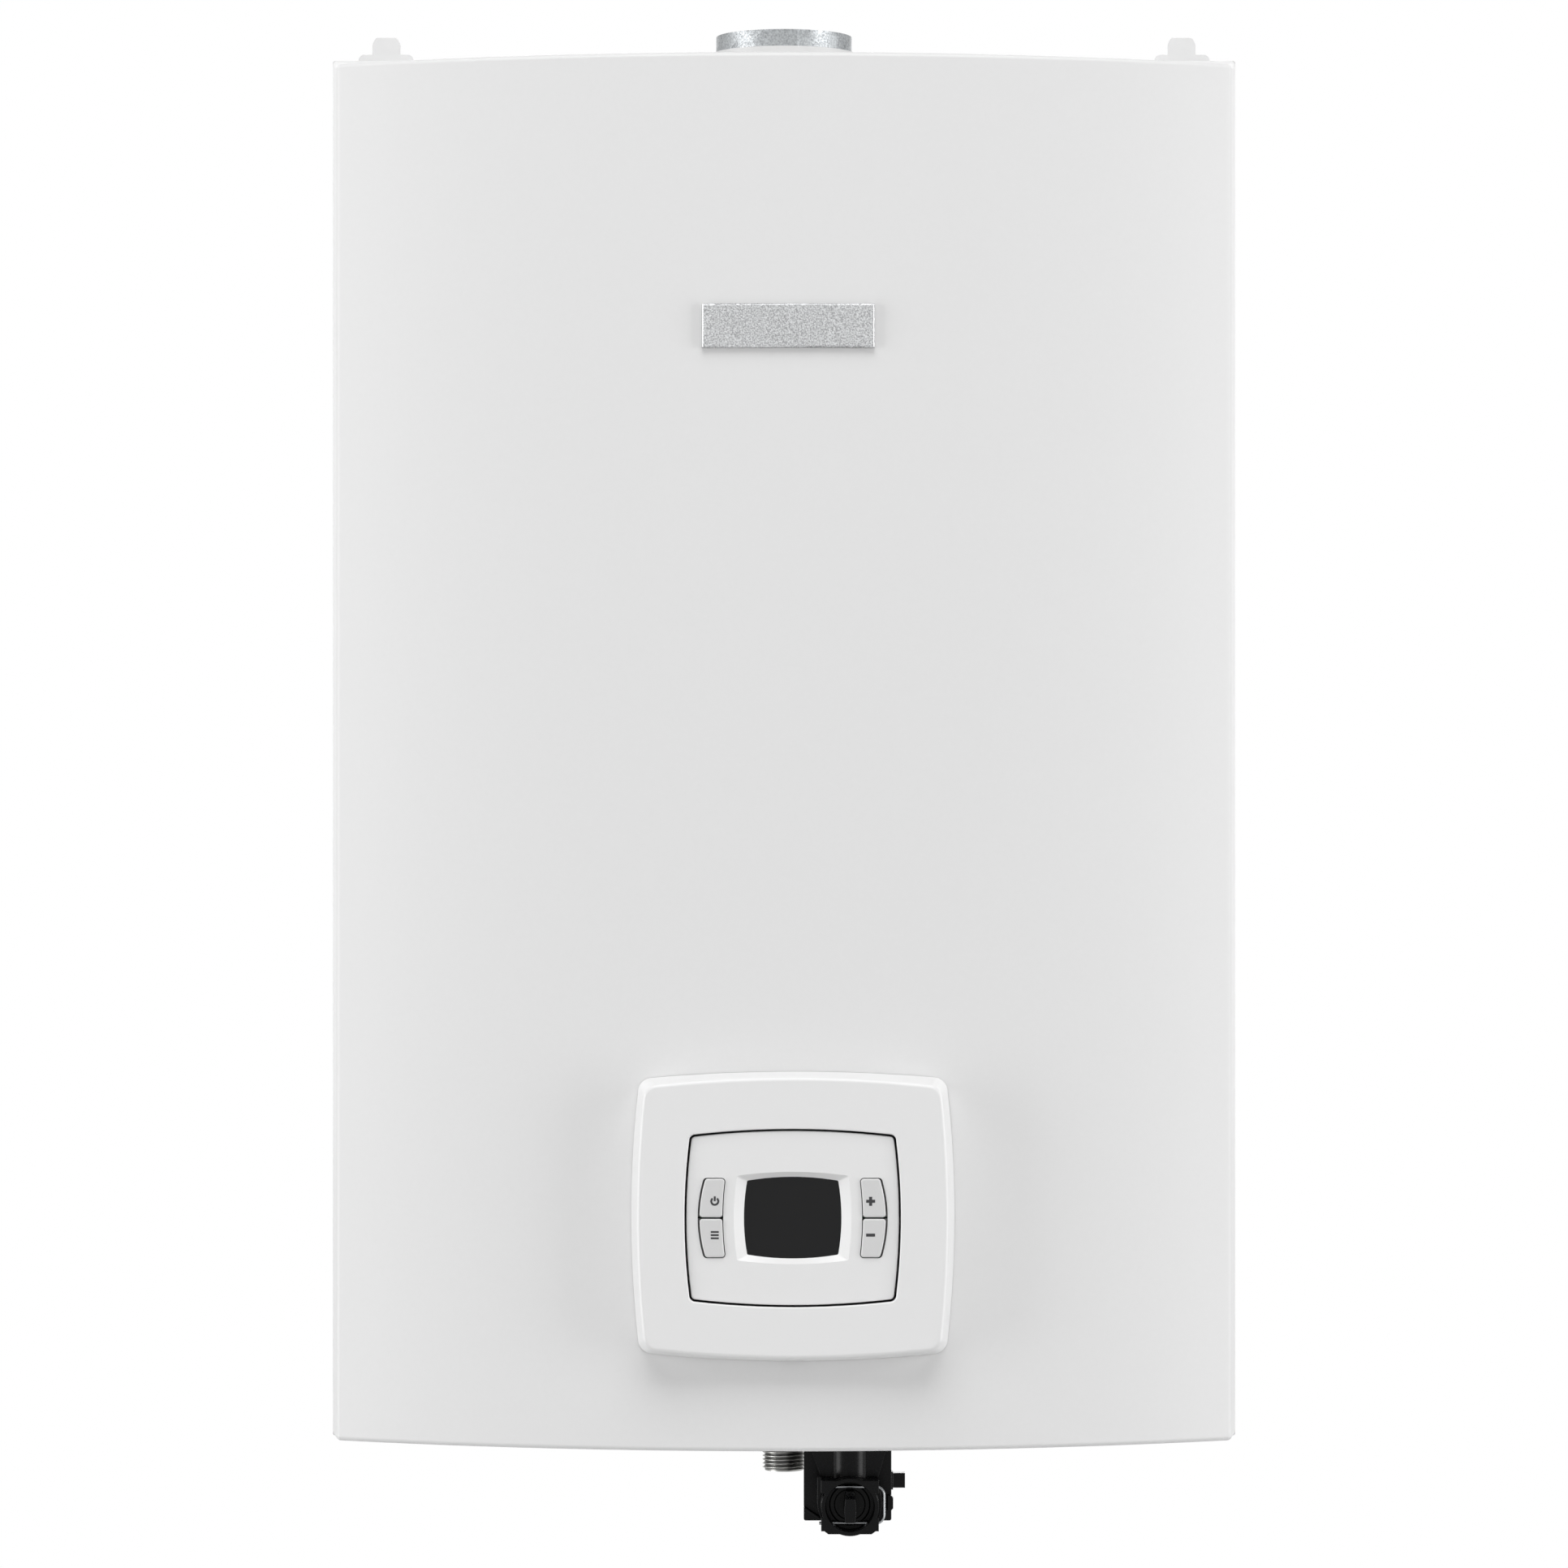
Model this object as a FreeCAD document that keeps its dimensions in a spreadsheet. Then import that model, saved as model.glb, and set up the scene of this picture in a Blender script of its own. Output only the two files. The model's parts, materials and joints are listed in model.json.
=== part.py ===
"""Wall-hung gas water heater: one solid per physical piece, in millimetres.

X points right, the front faces -Y, the wall is the plane y = 0 and +Z is up.
The origin lies midway between the two hanging holes.
"""
import FreeCAD, Part
import math
import os
import re
import Sketcher

doc = FreeCAD.newDocument("gas_water_heater")
sizes = doc.addObject("Spreadsheet::Sheet", "sizes")

SIZES = {
    # Casing body
    "casing_width": 428,
    "casing_height": 652,
    "casing_depth": 141,
    "casing_corner": 1,
    "sheet_gauge": 1.2,
    "flange_width": 10,
    "hang_rise": 8,
    "hang_hole_radius": 4.5,
    "ear_inset": 15.5,
    "ear_width": 27.5,
    "ear_rise": 20.7,
    "ear_corner": 3,
    "hanger_gauge": 3,
    "tongue_width": 14,
    "tongue_rise": 29.5,
    "tongue_taper": 2.2,
    "tongue_slope": 5,
    "tongue_corner": 6,
    "stay_spacing": 300,
    "stay_rise": 40,
    "stay_hole_radius": 3.5,
    "slot_count": 5,
    "slot_inset": 72,
    "slot_pitch": 11,
    "slot_width": 5,
    "slot_end_radius": 3,
    "slot_length": 70,
    "slot_setback": 70,
    # Front cover
    "cover_splay": 3.5,
    "cover_brow": 4,
    "cover_reveal": 22,
    "cover_bulge": 44,
    "cover_side_radius": 2.8,
    "cover_edge_radius": 2.2,
    "seat_gap": 0.3,
    "window_gap": 4,
    "badge_width": 80,
    "badge_height": 20.5,
    "badge_gauge": 2.4,
    "badge_edge": 0.9,
    "badge_shift": 2,
    "badge_level": 521,
    "glue_gap": 0.1,
    # Controls
    "panel_shift": 4,
    "panel_level": 109,
    "bezel_width": 150.6,
    "bezel_height": 136.6,
    "bezel_side_bow": 3.8,
    "bezel_end_bow": 4.4,
    "bezel_corner": 7,
    "bezel_proud": 12,
    "bezel_skirt": 7,
    "bezel_taper": 10.5,
    "bezel_edge": 2,
    "bezel_gap": 0.9,
    "bezel_wall": 2,
    "bezel_lip": 0.7,
    "notch_width": 11,
    "notch_height": 2.4,
    "notch_depth": 9,
    "fascia_width": 98,
    "fascia_height": 80.4,
    "fascia_side_bow": 2.5,
    "fascia_end_bow": 2.8,
    "fascia_corner": 2,
    "fascia_proud": 10.5,
    "fascia_wall": 2.5,
    "fascia_edge": 0.7,
    "recess_width": 54.3,
    "recess_height": 42.6,
    "display_width": 45,
    "display_height": 37.7,
    "display_side_bow": 1.5,
    "display_end_bow": 1.8,
    "lens_lap": 2.5,
    "display_corner": 1.5,
    "lens_gauge": 1.5,
    "lid_width": 132,
    "lid_height": 98,
    "lid_gauge": 2.5,
    "lid_setback": 17,
    "box_wall": 2,
    "bracket_width": 140,
    "bracket_foot": 20,
    "foot_reach": 16,
    "bracket_setback": 12,
    "board_gauge": 1.6,
    "board_depth": 10,
    "post_radius": 2.5,
    "switch_side": 6,
    "switch_height": 4,
    "button_reach": 42.9,
    "button_inner": 32.4,
    "button_half": 18.1,
    "button_outer_bow": 61,
    "button_inner_bow": 140,
    "button_split": 0.7,
    "button_proud": 1,
    "button_gap": 0.4,
    "button_relief": 0.5,
    "button_lip": 1.4,
    "button_travel": 0.8,
    "button_free": 0.1,
    "stem_radius": 1.8,
    "screw_spread": 60,
    "screw_radius": 2,
    "screw_bite": 9,
    "screw_head_radius": 3.8,
    "screw_head_height": 2.4,
    "boss_radius": 4.5,
    # Combustion stack
    "stack_side_room": 65.8,
    "stack_depth": 120,
    "stack_setback": 83,
    "stack_gauge": 1.5,
    "burner_level": 190,
    "burner_height": 55,
    "blade_count": 13,
    "blade_width": 9,
    "blade_margin": 15,
    "blade_height": 48,
    "blade_roof": 8,
    "sight_radius": 11,
    "sight_lap": 3,
    "sight_gauge": 3,
    "sight_drop": 5,
    "exchanger_height": 80,
    "tube_radius": 8,
    "tube_pitch": 38,
    "tube_reach": 5,
    "fin_count": 16,
    "fin_gauge": 0.8,
    "fin_height": 70,
    "press_gap": 0.2,
    "hood_height": 45,
    "hood_top_width": 180,
    "hood_top_depth": 112,
    "hood_top_shift": 40,
    "stay_channel_width": 40,
    "stay_channel_height": 30,
    "stay_channel_spread": 200,
    "stay_channel_rise": 50,
    # Fan and flue
    "flue_setback": 95,
    "flue_stand": 92,
    "flue_outer_radius": 32.75,
    "flue_bore_radius": 30.25,
    "flue_throat_radius": 27,
    "flue_rise": 17,
    "flue_socket": 45,
    "flue_flange": 6,
    "neck_gap": 0.5,
    "neck_wall": 1.6,
    "neck_rise": 8.8,
    "neck_flare": 3,
    "elbow_width": 78,
    "elbow_height": 60,
    "fan_shift": 84,
    "fan_height": 46,
    "scroll_radius": 42,
    "scroll_step": 3,
    "scroll_outlet": 44,
    "wheel_radius": 37,
    "wheel_eye": 25,
    "wheel_height": 32,
    "wheel_lift": 6,
    "blade_gauge": 1.4,
    "vane_count": 12,
    "vane_sweep": 22,
    "hub_radius": 8,
    "shaft_radius": 3,
    "shaft_gap": 0.2,
    "motor_radius": 28,
    "motor_height": 40,
    "motor_cap_radius": 11,
    "motor_cap_height": 6,
    # Gas line
    "gas_setback": 72,
    "gas_drop": 24.6,
    "thread_radius": 10.4775,
    "thread_length": 20,
    "gas_bore_radius": 6.5,
    "gas_pipe_radius": 9,
    "shoulder_radius": 13,
    "hole_gap": 0.3,
    "lock_nut_across": 27,
    "lock_nut_height": 6,
    "valve_width": 84,
    "valve_depth": 44,
    "valve_height": 62,
    "valve_corner": 5,
    "outlet_boss_radius": 13,
    "outlet_boss_height": 20,
    "coil_radius": 15,
    "coil_length": 24,
    "coil_cap_radius": 7,
    "coil_cap_length": 4,
    "burner_gap": 7,
    "rail_inset": 9,
    "rail_side": 18,
    "jet_radius": 3,
    "jet_height": 8,
    "jet_bore": 0.6,
    "rail_wall": 1.5,
    # Water line
    "pipe_radius": 7.5,
    "pipe_wall": 1,
    "pipe_bend": 16,
    "pipe_turn_level": 72,
    "pipe_stub": 17,
    "hot_shift": 75,
    "hot_drop": 14,
    "hot_thread_length": 11,
    "water_shift": 31.4,
    "water_drop": 35.1,
    "water_face": 134,
    "water_setback": 114,
    "housing_length": 36,
    "housing_radius": 13.7,
    "housing_block_depth": 12,
    "housing_block_top": 12.7,
    "housing_block_bottom": 11.4,
    "head_lug_low": 6.6,
    "head_foot_high": 4.8,
    "head_step": 1.4,
    "head_step_half": 10.3,
    "head_step_slope": 1.9,
    "catch_gauge": 1.8,
    "catch_set": 3,
    "catch_low": 4.4,
    "catch_high": 14.1,
    "saddle_radius": 15.4,
    "saddle_depth": 22,
    "column_radius": 9.6,
    "column_bore": 6.5,
    "column_stand": 12,
    "port_radius": 11.65,
    "port_depth": 10.2,
    "plug_bore_radius": 9.7,
    "plug_bore_depth": 22,
    "plate_left": 21.9,
    "plate_right": 20.2,
    "plate_drop": 45,
    "plate_gauge": 8,
    "plate_corner": 1,
    "web_gauge": 14,
    "rib_high": 2.8,
    "rib_low": 8.2,
    "rib_gauge": 1.2,
    "rib_depth": 4,
    "stop_inner": 18.2,
    "stop_outer": 21,
    "stop_low": 4.6,
    "stop_high": 2.6,
    "stop_bevel": 1,
    "stop_depth": 4,
    "stop_bite": 2,
    "inlet_flange_half": 15,
    "inlet_flange_gauge": 4,
    "cold_setback": 80,
    "cold_block_radius": 13.5,
    "cold_block_bottom": 20,
    "cold_drop": 40,
    "feed_radius": 3.5,
    "drop_radius": 2.5,
    "lug_length": 6.6,
    "lug_half": 3.5,
    "lug_drop": 25.9,
    "lug_collar": 0.8,
    "plug_radius": 9.5,
    "plug_disc": 3.6,
    "dish_radius": 7.3,
    "dish_depth": 0.6,
    "plug_groove": 2.6,
    "plug_groove_radius": 7.6,
    "plug_flange": 2.4,
    "spigot_radius": 4.5,
    "grip_width": 5.5,
    "grip_end": 3.6,
    "grip_height": 11.3,
    "grip_root": 14.6,
    "grip_proud": 14,
    "seal_radius": 0.95,
    "screen_radius": 7,
    "screen_gauge": 0.8,
    "screen_length": 10,
    "clip_radius": 0.8,
    "clip_half": 8.7,
    "clip_tip": 14.6,
    "clip_bend": 16.2,
    "clip_corner": 4,
    "clip_set": 1.1,
    "clip_room": 0.4,
    "sensor_radius": 13,
    "sensor_height": 46,
    "sensor_cell_radius": 10,
    "sensor_floor": 5,
    "bridge_width": 3,
    "bridge_height": 3,
    "vane_radius": 9.3,
    "vane_length": 18,
    "turbine_vanes": 5,
    "spindle_radius": 1.5,
    # Small fittings
    "thermostat_radius": 9,
    "thermostat_height": 8,
    "thermostat_inset": 57,
    "probe_radius": 4,
    "probe_length": 12,
    "probe_level": 300,
    "igniter_width": 60,
    "igniter_depth": 38,
    "igniter_height": 50,
    "igniter_inset": 52.8,
    "igniter_drop": 95,
    "igniter_corner": 4,
    "post_spread": 30,
    "terminal_radius": 5,
    "terminal_height": 12,
    "switch_disc_radius": 30,
    "switch_disc_depth": 20,
    "switch_port_radius": 3,
    "switch_port_length": 9,
    "switch_inset": 47.8,
    "switch_drop": 92,
    "electrode_pitch": 26,
    "ceramic_radius": 3.5,
    "ceramic_length": 26,
    "ceramic_bite": 8,
    "rod_radius": 1.2,
    "rod_length": 14,
    "electrode_rise": 14,
    "electrode_inset": 77,
    "electrode_plate": 70,
    "gland_clear": 6.3,
    "gland_setback": 60,
    "gland_radius": 8,
    "gland_flange": 12,
    "gland_bore": 4,
    "gland_stand": 5,
}
for row, (alias, number) in enumerate(SIZES.items(), start=1):
    sizes.set(f"A{row}", alias)
    sizes.set(f"B{row}", str(number))
    sizes.setAlias(f"B{row}", alias)
doc.recompute()

ALIAS = re.compile(r"\b(" + "|".join(SIZES) + r")\b")

# Levels and planes that several pieces share
TOP = "(-hang_rise)"
FLOOR = "(-hang_rise - casing_height)"
DECK = f"({FLOOR} + sheet_gauge)"
RIM = "(-casing_depth)"
COVER_REAR = f"({RIM} - seat_gap)"
BEND = "(-casing_depth - cover_reveal)"
FRONT = f"({BEND} - cover_bulge)"
COVER_HALF = "(casing_width / 2 - cover_splay)"
BROW = f"({TOP} - cover_brow)"
BOW = f"(({COVER_HALF} ^ 2 + cover_bulge ^ 2) / (2 * cover_bulge))"
INNER_HALF = "(casing_width / 2 - sheet_gauge)"
GLAND_X = f"({INNER_HALF} - slot_inset - slot_width / 2 - gland_flange - gland_clear)"
EAR_X = "(casing_width / 2 - ear_inset)"
PANEL_Z = f"({FLOOR} + panel_level)"
FACE = f"({FRONT} - fascia_proud)"
LID_BACK = f"({FRONT} + lid_setback + lid_gauge)"
BRACKET_FACE = f"({RIM} + bracket_setback - sheet_gauge)"
FASCIA_INSIDE = f"({FACE} + fascia_wall)"
BOARD_FRONT = f"({FASCIA_INSIDE} + board_depth)"
BOSS_REACH = "(screw_spread + panel_shift + boss_radius)"
BOSS_FRONT = f"({FRONT} + sheet_gauge + seat_gap + {BOSS_REACH} ^ 2 / {BOW} / 2)"
ELBOW_TOP = f"({TOP} - flue_stand)"
FAN_Z = f"({ELBOW_TOP} - elbow_height)"
HOOD_Z = f"({FAN_Z} - hood_height)"
EXCHANGER_Z = f"({HOOD_Z} - exchanger_height)"
TUBE_Z = f"({EXCHANGER_Z} + exchanger_height / 2)"
BURNER_Z = f"({FLOOR} + burner_level)"
CHAMBER_Z = f"({BURNER_Z} + burner_height)"
STACK_HALF = f"({INNER_HALF} - stack_side_room)"
ELECTRODE_X = f"(-{STACK_HALF} + electrode_inset)"
STACK_FRONT = "(-stack_setback - stack_depth / 2)"
STACK_BACK = "(-stack_setback + stack_depth / 2)"
FAN_Y = "(-flue_setback + scroll_radius + 3 * scroll_step - scroll_outlet / 2)"
FRONT_TUBE = "(-stack_setback - tube_pitch)"
BACK_TUBE = "(-stack_setback + tube_pitch)"
RAIL_Z = f"({BURNER_Z} - burner_gap - jet_height - rail_side)"
VALVE_TOP = f"({RAIL_Z} - outlet_boss_height)"
VALVE_Z = f"({VALVE_TOP} - valve_height)"
BLADE_ROW = f"(2 * {STACK_HALF} - 2 * stack_gauge - blade_width - 2 * blade_margin)"
BLADE_PITCH = f"({BLADE_ROW} / (blade_count - 1))"
PIPE_SIDE = f"({STACK_HALF} + tube_reach + pipe_bend + pipe_stub)"
TURN_Z = f"({FLOOR} + pipe_turn_level)"
WATER_Z = f"({FLOOR} - water_drop)"
PORT_FLOOR = "(-water_face + port_depth)"
PLATE_FRONT = "(-water_face + housing_length - plate_gauge)"
SENSOR_Z = f"({FLOOR} + column_stand)"
SENSOR_TOP = f"({SENSOR_Z} + sensor_height)"

ALONG = {
    "z": FreeCAD.Rotation(),
    "x": FreeCAD.Rotation(FreeCAD.Vector(0, 1, 0), 90),
    "y": FreeCAD.Rotation(FreeCAD.Vector(1, 0, 0), -90),
}
FULL_TURN = 360
TOUCH = 0.001
NEAR = 0.01
PIECES = {}


def bound(text):
    """Point every size name in an expression at the sheet."""
    return ALIAS.sub(r"sizes.\1", str(text))


def value(text):
    """Present value of an expression in sizes."""
    return float(sizes.evalExpression(bound(text)))


def bind(item, **expressions):
    """Drive properties of one object from the sheet."""
    for name, text in expressions.items():
        item.setExpression(name, bound(text))
    return item


def place(item, x, y, z, rotation=ALONG["z"]):
    """Turn an object and drive its position from the sheet."""
    item.Placement = FreeCAD.Placement(FreeCAD.Vector(), rotation)
    for axis, text in zip("xyz", (x, y, z)):
        item.setExpression(f"Placement.Base.{axis}", bound(text))
    return item


def piece(label, item):
    """Keep a finished sub-part under the name of its file."""
    item.Label = label
    PIECES[label] = item
    return item


def block(x0, x1, y0, y1, z0, z1):
    """Box between two corners."""
    item = doc.addObject("Part::Box", "block")
    bind(item, Length=f"({x1}) - ({x0})", Width=f"({y1}) - ({y0})", Height=f"({z1}) - ({z0})")
    return place(item, x0, y0, z0)


def rod(radius, length, x, y, z, axis="z"):
    """Cylinder that starts at a point and runs along +X, +Y or +Z."""
    item = doc.addObject("Part::Cylinder", "rod")
    bind(item, Radius=radius, Height=length)
    return place(item, x, y, z, ALONG[axis])


def hexagon(across, height, x, y, z):
    """Upright hexagonal prism."""
    item = doc.addObject("Part::Prism", "hexagon")
    item.Polygon = 6
    bind(item, Circumradius=f"({across}) / sqrt(3)", Height=height)
    return place(item, x, y, z)


def fuse(*items):
    """One solid made of several."""
    item = doc.addObject("Part::MultiFuse", "fuse")
    item.Shapes = list(items)
    item.Refine = True
    return item


def group(*items):
    """Separate solids that share one node."""
    item = doc.addObject("Part::Compound", "group")
    item.Links = list(items)
    return item


def cut(base, *tools):
    """First solid less all the others."""
    item = doc.addObject("Part::Cut", "cut")
    item.Base = base
    item.Tool = tools[0] if len(tools) == 1 else fuse(*tools)
    return item


def common(first, second):
    """Room that two solids share."""
    item = doc.addObject("Part::MultiCommon", "common")
    item.Shapes = [first, second]
    return item


def rounded(base, radius, keep):
    """Round the edges that a test keeps."""
    doc.recompute()
    size = value(radius)
    item = doc.addObject("Part::Fillet", "rounded")
    item.Base = base
    item.Edges = [(n, size, size) for n, edge in enumerate(base.Shape.Edges, start=1) if keep(edge)]
    return item


def bevelled(base, size, keep):
    """Bevel the edges that a test keeps."""
    doc.recompute()
    width = value(size)
    item = doc.addObject("Part::Chamfer", "bevelled")
    item.Base = base
    item.Edges = [(n, width, width) for n, edge in enumerate(base.Shape.Edges, start=1) if keep(edge)]
    return item


def runs_along(axis):
    """Test for straight edges along one axis."""
    def along(edge):
        """Test one edge."""
        return len(edge.Vertexes) == 2 and abs(edge.tangentAt(edge.FirstParameter).dot(axis)) > 1 - TOUCH

    return along


def lies_at(axis, text):
    """Test for edges that lie wholly in one plane across an axis."""
    level = value(text)
    return lambda edge: all(abs(vertex.Point.dot(axis) - level) < NEAR for vertex in edge.Vertexes)


X_AXIS = FreeCAD.Vector(1, 0, 0)
Y_AXIS = FreeCAD.Vector(0, 1, 0)
Z_AXIS = FreeCAD.Vector(0, 0, 1)


def new_body(label):
    """Body that takes sketches and features."""
    body = doc.addObject("PartDesign::Body", label)
    return piece(label, body)


def origin_part(body, role):
    """Origin plane or axis of a body."""
    return next(item for item in body.Origin.OriginFeatures if item.Role == role)


def new_sketch(body, role, lift="0"):
    """Empty sketch on an origin plane; XZ sketches lift towards -Y."""
    sketch = body.newObject("Sketcher::SketchObject", "sketch")
    sketch.AttachmentSupport = (origin_part(body, role), [""])
    sketch.MapMode = "FlatFace"
    sketch.setExpression("AttachmentOffset.Base.z", bound(lift))
    return sketch


def pin_down(sketch, kind, geometry, vertex, text):
    """Constrain one coordinate or radius and drive it from the sheet."""
    if kind == "Radius":
        index = sketch.addConstraint(Sketcher.Constraint(kind, geometry, value(text)))
    else:
        index = sketch.addConstraint(Sketcher.Constraint(kind, -1, 1, geometry, vertex, value(text)))
    name = f"size_{index}"
    sketch.renameConstraint(index, name)
    sketch.setExpression(f"Constraints.{name}", bound(text))


def outline(sketch, corners):
    """Closed outline; a corner (x, y, radius, turn) is reached by an arc, turn 1 bowing to the left."""
    points = [FreeCAD.Vector(value(corner[0]), value(corner[1]), 0) for corner in corners]
    sides = []
    for index, corner in enumerate(corners):
        start = points[index - 1]
        end = points[index]
        if len(corner) == 2:
            side = sketch.addGeometry(Part.LineSegment(start, end))
        else:
            along = end - start
            radius = value(corner[2])
            rise = corner[3] * (radius - math.sqrt(radius ** 2 - along.Length ** 2 / 4)) / along.Length
            middle = (start + end) / 2 + FreeCAD.Vector(-along.y, along.x, 0) * rise
            side = sketch.addGeometry(Part.Arc(start, middle, end))
        forward = sketch.getPoint(side, 1).distanceToPoint(start) < TOUCH
        sides.append((side, 1 if forward else 2, 2 if forward else 1))
    for index, (side, first, last) in enumerate(sides):
        before = sides[index - 1]
        sketch.addConstraint(Sketcher.Constraint("Coincident", before[0], before[2], side, first))
    for corner, (side, first, last) in zip(corners, sides):
        pin_down(sketch, "DistanceX", side, last, corner[0])
        pin_down(sketch, "DistanceY", side, last, corner[1])
        if len(corner) == 4:
            pin_down(sketch, "Radius", side, 0, corner[2])


def rectangle(sketch, x0, x1, y0, y1):
    """Rectangle between two corners."""
    outline(sketch, [(x0, y0), (x1, y0), (x1, y1), (x0, y1)])


def disc(sketch, x, y, radius):
    """Circle with a driven centre and radius."""
    centre = FreeCAD.Vector(value(x), value(y), 0)
    side = sketch.addGeometry(Part.Circle(centre, Z_AXIS, value(radius)))
    pin_down(sketch, "DistanceX", side, 3, x)
    pin_down(sketch, "DistanceY", side, 3, y)
    pin_down(sketch, "Radius", side, 0, radius)


def pillow(sketch, x, y, width, height, side_bow, end_bow):
    """Outline of four outward arcs around a centre."""
    half_width = f"(({width}) / 2 - {side_bow})"
    half_height = f"(({height}) / 2 - {end_bow})"
    end_radius = f"(({half_width} ^ 2 + {end_bow} ^ 2) / (2 * {end_bow}))"
    side_radius = f"(({half_height} ^ 2 + {side_bow} ^ 2) / (2 * {side_bow}))"
    outline(sketch, [
        (f"{x} - {half_width}", f"{y} - {half_height}", side_radius, -1),
        (f"{x} + {half_width}", f"{y} - {half_height}", end_radius, -1),
        (f"{x} + {half_width}", f"{y} + {half_height}", side_radius, -1),
        (f"{x} - {half_width}", f"{y} + {half_height}", end_radius, -1),
    ])


def feature(body, kind, sketch, backwards=False, **expressions):
    """Pad, pocket or revolution of one sketch, solved at once."""
    item = body.newObject(f"PartDesign::{kind}", kind.lower())
    item.Profile = sketch
    item.Reversed = backwards
    bind(item, **expressions)
    doc.recompute()
    return item


def dress(body, kind, base, keep, **expressions):
    """Fillet or chamfer of the edges that a test keeps."""
    names = [f"Edge{n}" for n, edge in enumerate(base.Shape.Edges, start=1) if keep(edge)]
    item = body.newObject(f"PartDesign::{kind}", kind.lower())
    item.Base = (base, names)
    bind(item, **expressions)
    doc.recompute()
    return item


def around(body, pad, count):
    """Repeat a pad round the body's own Z axis."""
    item = body.newObject("PartDesign::PolarPattern", "pattern")
    item.Originals = [pad]
    item.Axis = (origin_part(body, "Z_Axis"), [""])
    item.Angle = FULL_TURN
    bind(item, Occurrences=count)
    body.Tip = item
    doc.recompute()
    return item


def routed(label, corners, radius, bend):
    """Round bar along a route whose corners are bent to one radius."""
    points = [FreeCAD.Vector(*(value(text) for text in corner)) for corner in corners]
    turn = value(bend)
    edges = []
    last = points[0]
    for before, corner, after in zip(points, points[1:], points[2:]):
        arriving = (corner - before).normalize()
        leaving = (after - corner).normalize()
        half = arriving.getAngle(leaving) / 2
        reach = turn * math.tan(half)
        inwards = (leaving - arriving).normalize()
        start = corner - arriving * reach
        end = corner + leaving * reach
        middle = corner + inwards * (turn / math.cos(half) - turn)
        if last.distanceToPoint(start) > TOUCH:
            edges.append(Part.LineSegment(last, start).toShape())
        edges.append(Part.Arc(start, middle, end).toShape())
        last = end
    edges.append(Part.LineSegment(last, points[-1]).toShape())
    profile = Part.Wire(Part.Circle(points[0], points[1] - points[0], value(radius)).toShape())
    item = doc.addObject("Part::Feature", label)
    item.Shape = Part.Wire(edges).makePipeShell([profile], True, False)
    return item


def pipe(corners, radius, bend):
    """Hollow pipe along a bent route."""
    return cut(routed("pipe", corners, radius, bend), routed("bore", corners, f"{radius} - pipe_wall", bend))


def slab(corners, rear, depth):
    """Flat solid of an upright outline that runs forward from one plane across Y."""
    body = doc.addObject("PartDesign::Body", "slab")
    sketch = new_sketch(body, "XZ_Plane", f"-({rear})")
    outline(sketch, corners)
    feature(body, "Pad", sketch, Length=depth)
    return body


def make_back_panel():
    """Flat back with two ears, their tongues and four holes."""
    body = new_body("back_panel")
    sketch = new_sketch(body, "XZ_Plane")
    corners = [(f"-{INNER_HALF}", FLOOR), (INNER_HALF, FLOOR), (INNER_HALF, TOP)]
    shoulder = f"{TOP} + ear_rise - ear_corner"
    tip = f"{TOP} + tongue_rise"
    for side in (EAR_X, f"-{EAR_X}"):
        corners += [
            (f"{side} + ear_width / 2", TOP),
            (f"{side} + ear_width / 2", shoulder),
            (f"{side} + tongue_width / 2", shoulder),
            (f"{side} + tongue_width / 2", f"{tip} - tongue_slope"),
            (f"{side} + tongue_width / 2 - tongue_taper", tip, "tongue_corner", -1),
            (f"{side} - tongue_width / 2 + tongue_taper", tip),
            (f"{side} - tongue_width / 2", f"{tip} - tongue_slope", "tongue_corner", -1),
            (f"{side} - tongue_width / 2", shoulder),
            (f"{side} - ear_width / 2", shoulder),
            (f"{side} - ear_width / 2", TOP),
        ]
    corners.append((f"-{INNER_HALF}", TOP))
    outline(sketch, corners)
    for side in ("", "-"):
        disc(sketch, f"{side}{EAR_X}", "0", "hang_hole_radius")
        disc(sketch, f"{side}stay_spacing / 2", f"{FLOOR} + stay_rise", "stay_hole_radius")
    feature(body, "Pad", sketch, Length="sheet_gauge")


def make_hanger_plates():
    """Thick plates welded in front of the ears."""
    plates = []
    for side in ("", "-"):
        centre = f"{side}{EAR_X}"
        front = "-sheet_gauge - hanger_gauge"
        plate = block(f"{centre} - ear_width / 2", f"{centre} + ear_width / 2", front, "-sheet_gauge",
                      TOP, f"{TOP} + ear_rise")
        at_top = lies_at(Z_AXIS, f"{TOP} + ear_rise")
        along_y = runs_along(Y_AXIS)
        plate = rounded(plate, "ear_corner", lambda edge: at_top(edge) and along_y(edge))
        plates.append(cut(plate, rod("hang_hole_radius", "hanger_gauge", centre, front, "0", "y")))
    piece("hanger_plates", group(*plates))


def make_side_panel(label, side):
    """Side sheet with the flange that the cover rests against."""
    body = new_body(label)
    sketch = new_sketch(body, "XY_Plane", FLOOR)
    inner = f"{side}{INNER_HALF}"
    rectangle(sketch, inner, f"{side}casing_width / 2", RIM, "0")
    sheet = feature(body, "Pad", sketch, Length="casing_height")
    outside = lies_at(X_AXIS, f"{side}casing_width / 2")
    along_y = runs_along(Y_AXIS)
    dress(body, "Fillet", sheet, lambda edge: outside(edge) and along_y(edge), Radius="casing_corner")
    flange = new_sketch(body, "XY_Plane", DECK)
    rectangle(flange, f"{side}({INNER_HALF} - flange_width)", inner, RIM, f"{RIM} + sheet_gauge")
    feature(body, "Pad", flange, Length="casing_height - 2 * sheet_gauge")


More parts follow.
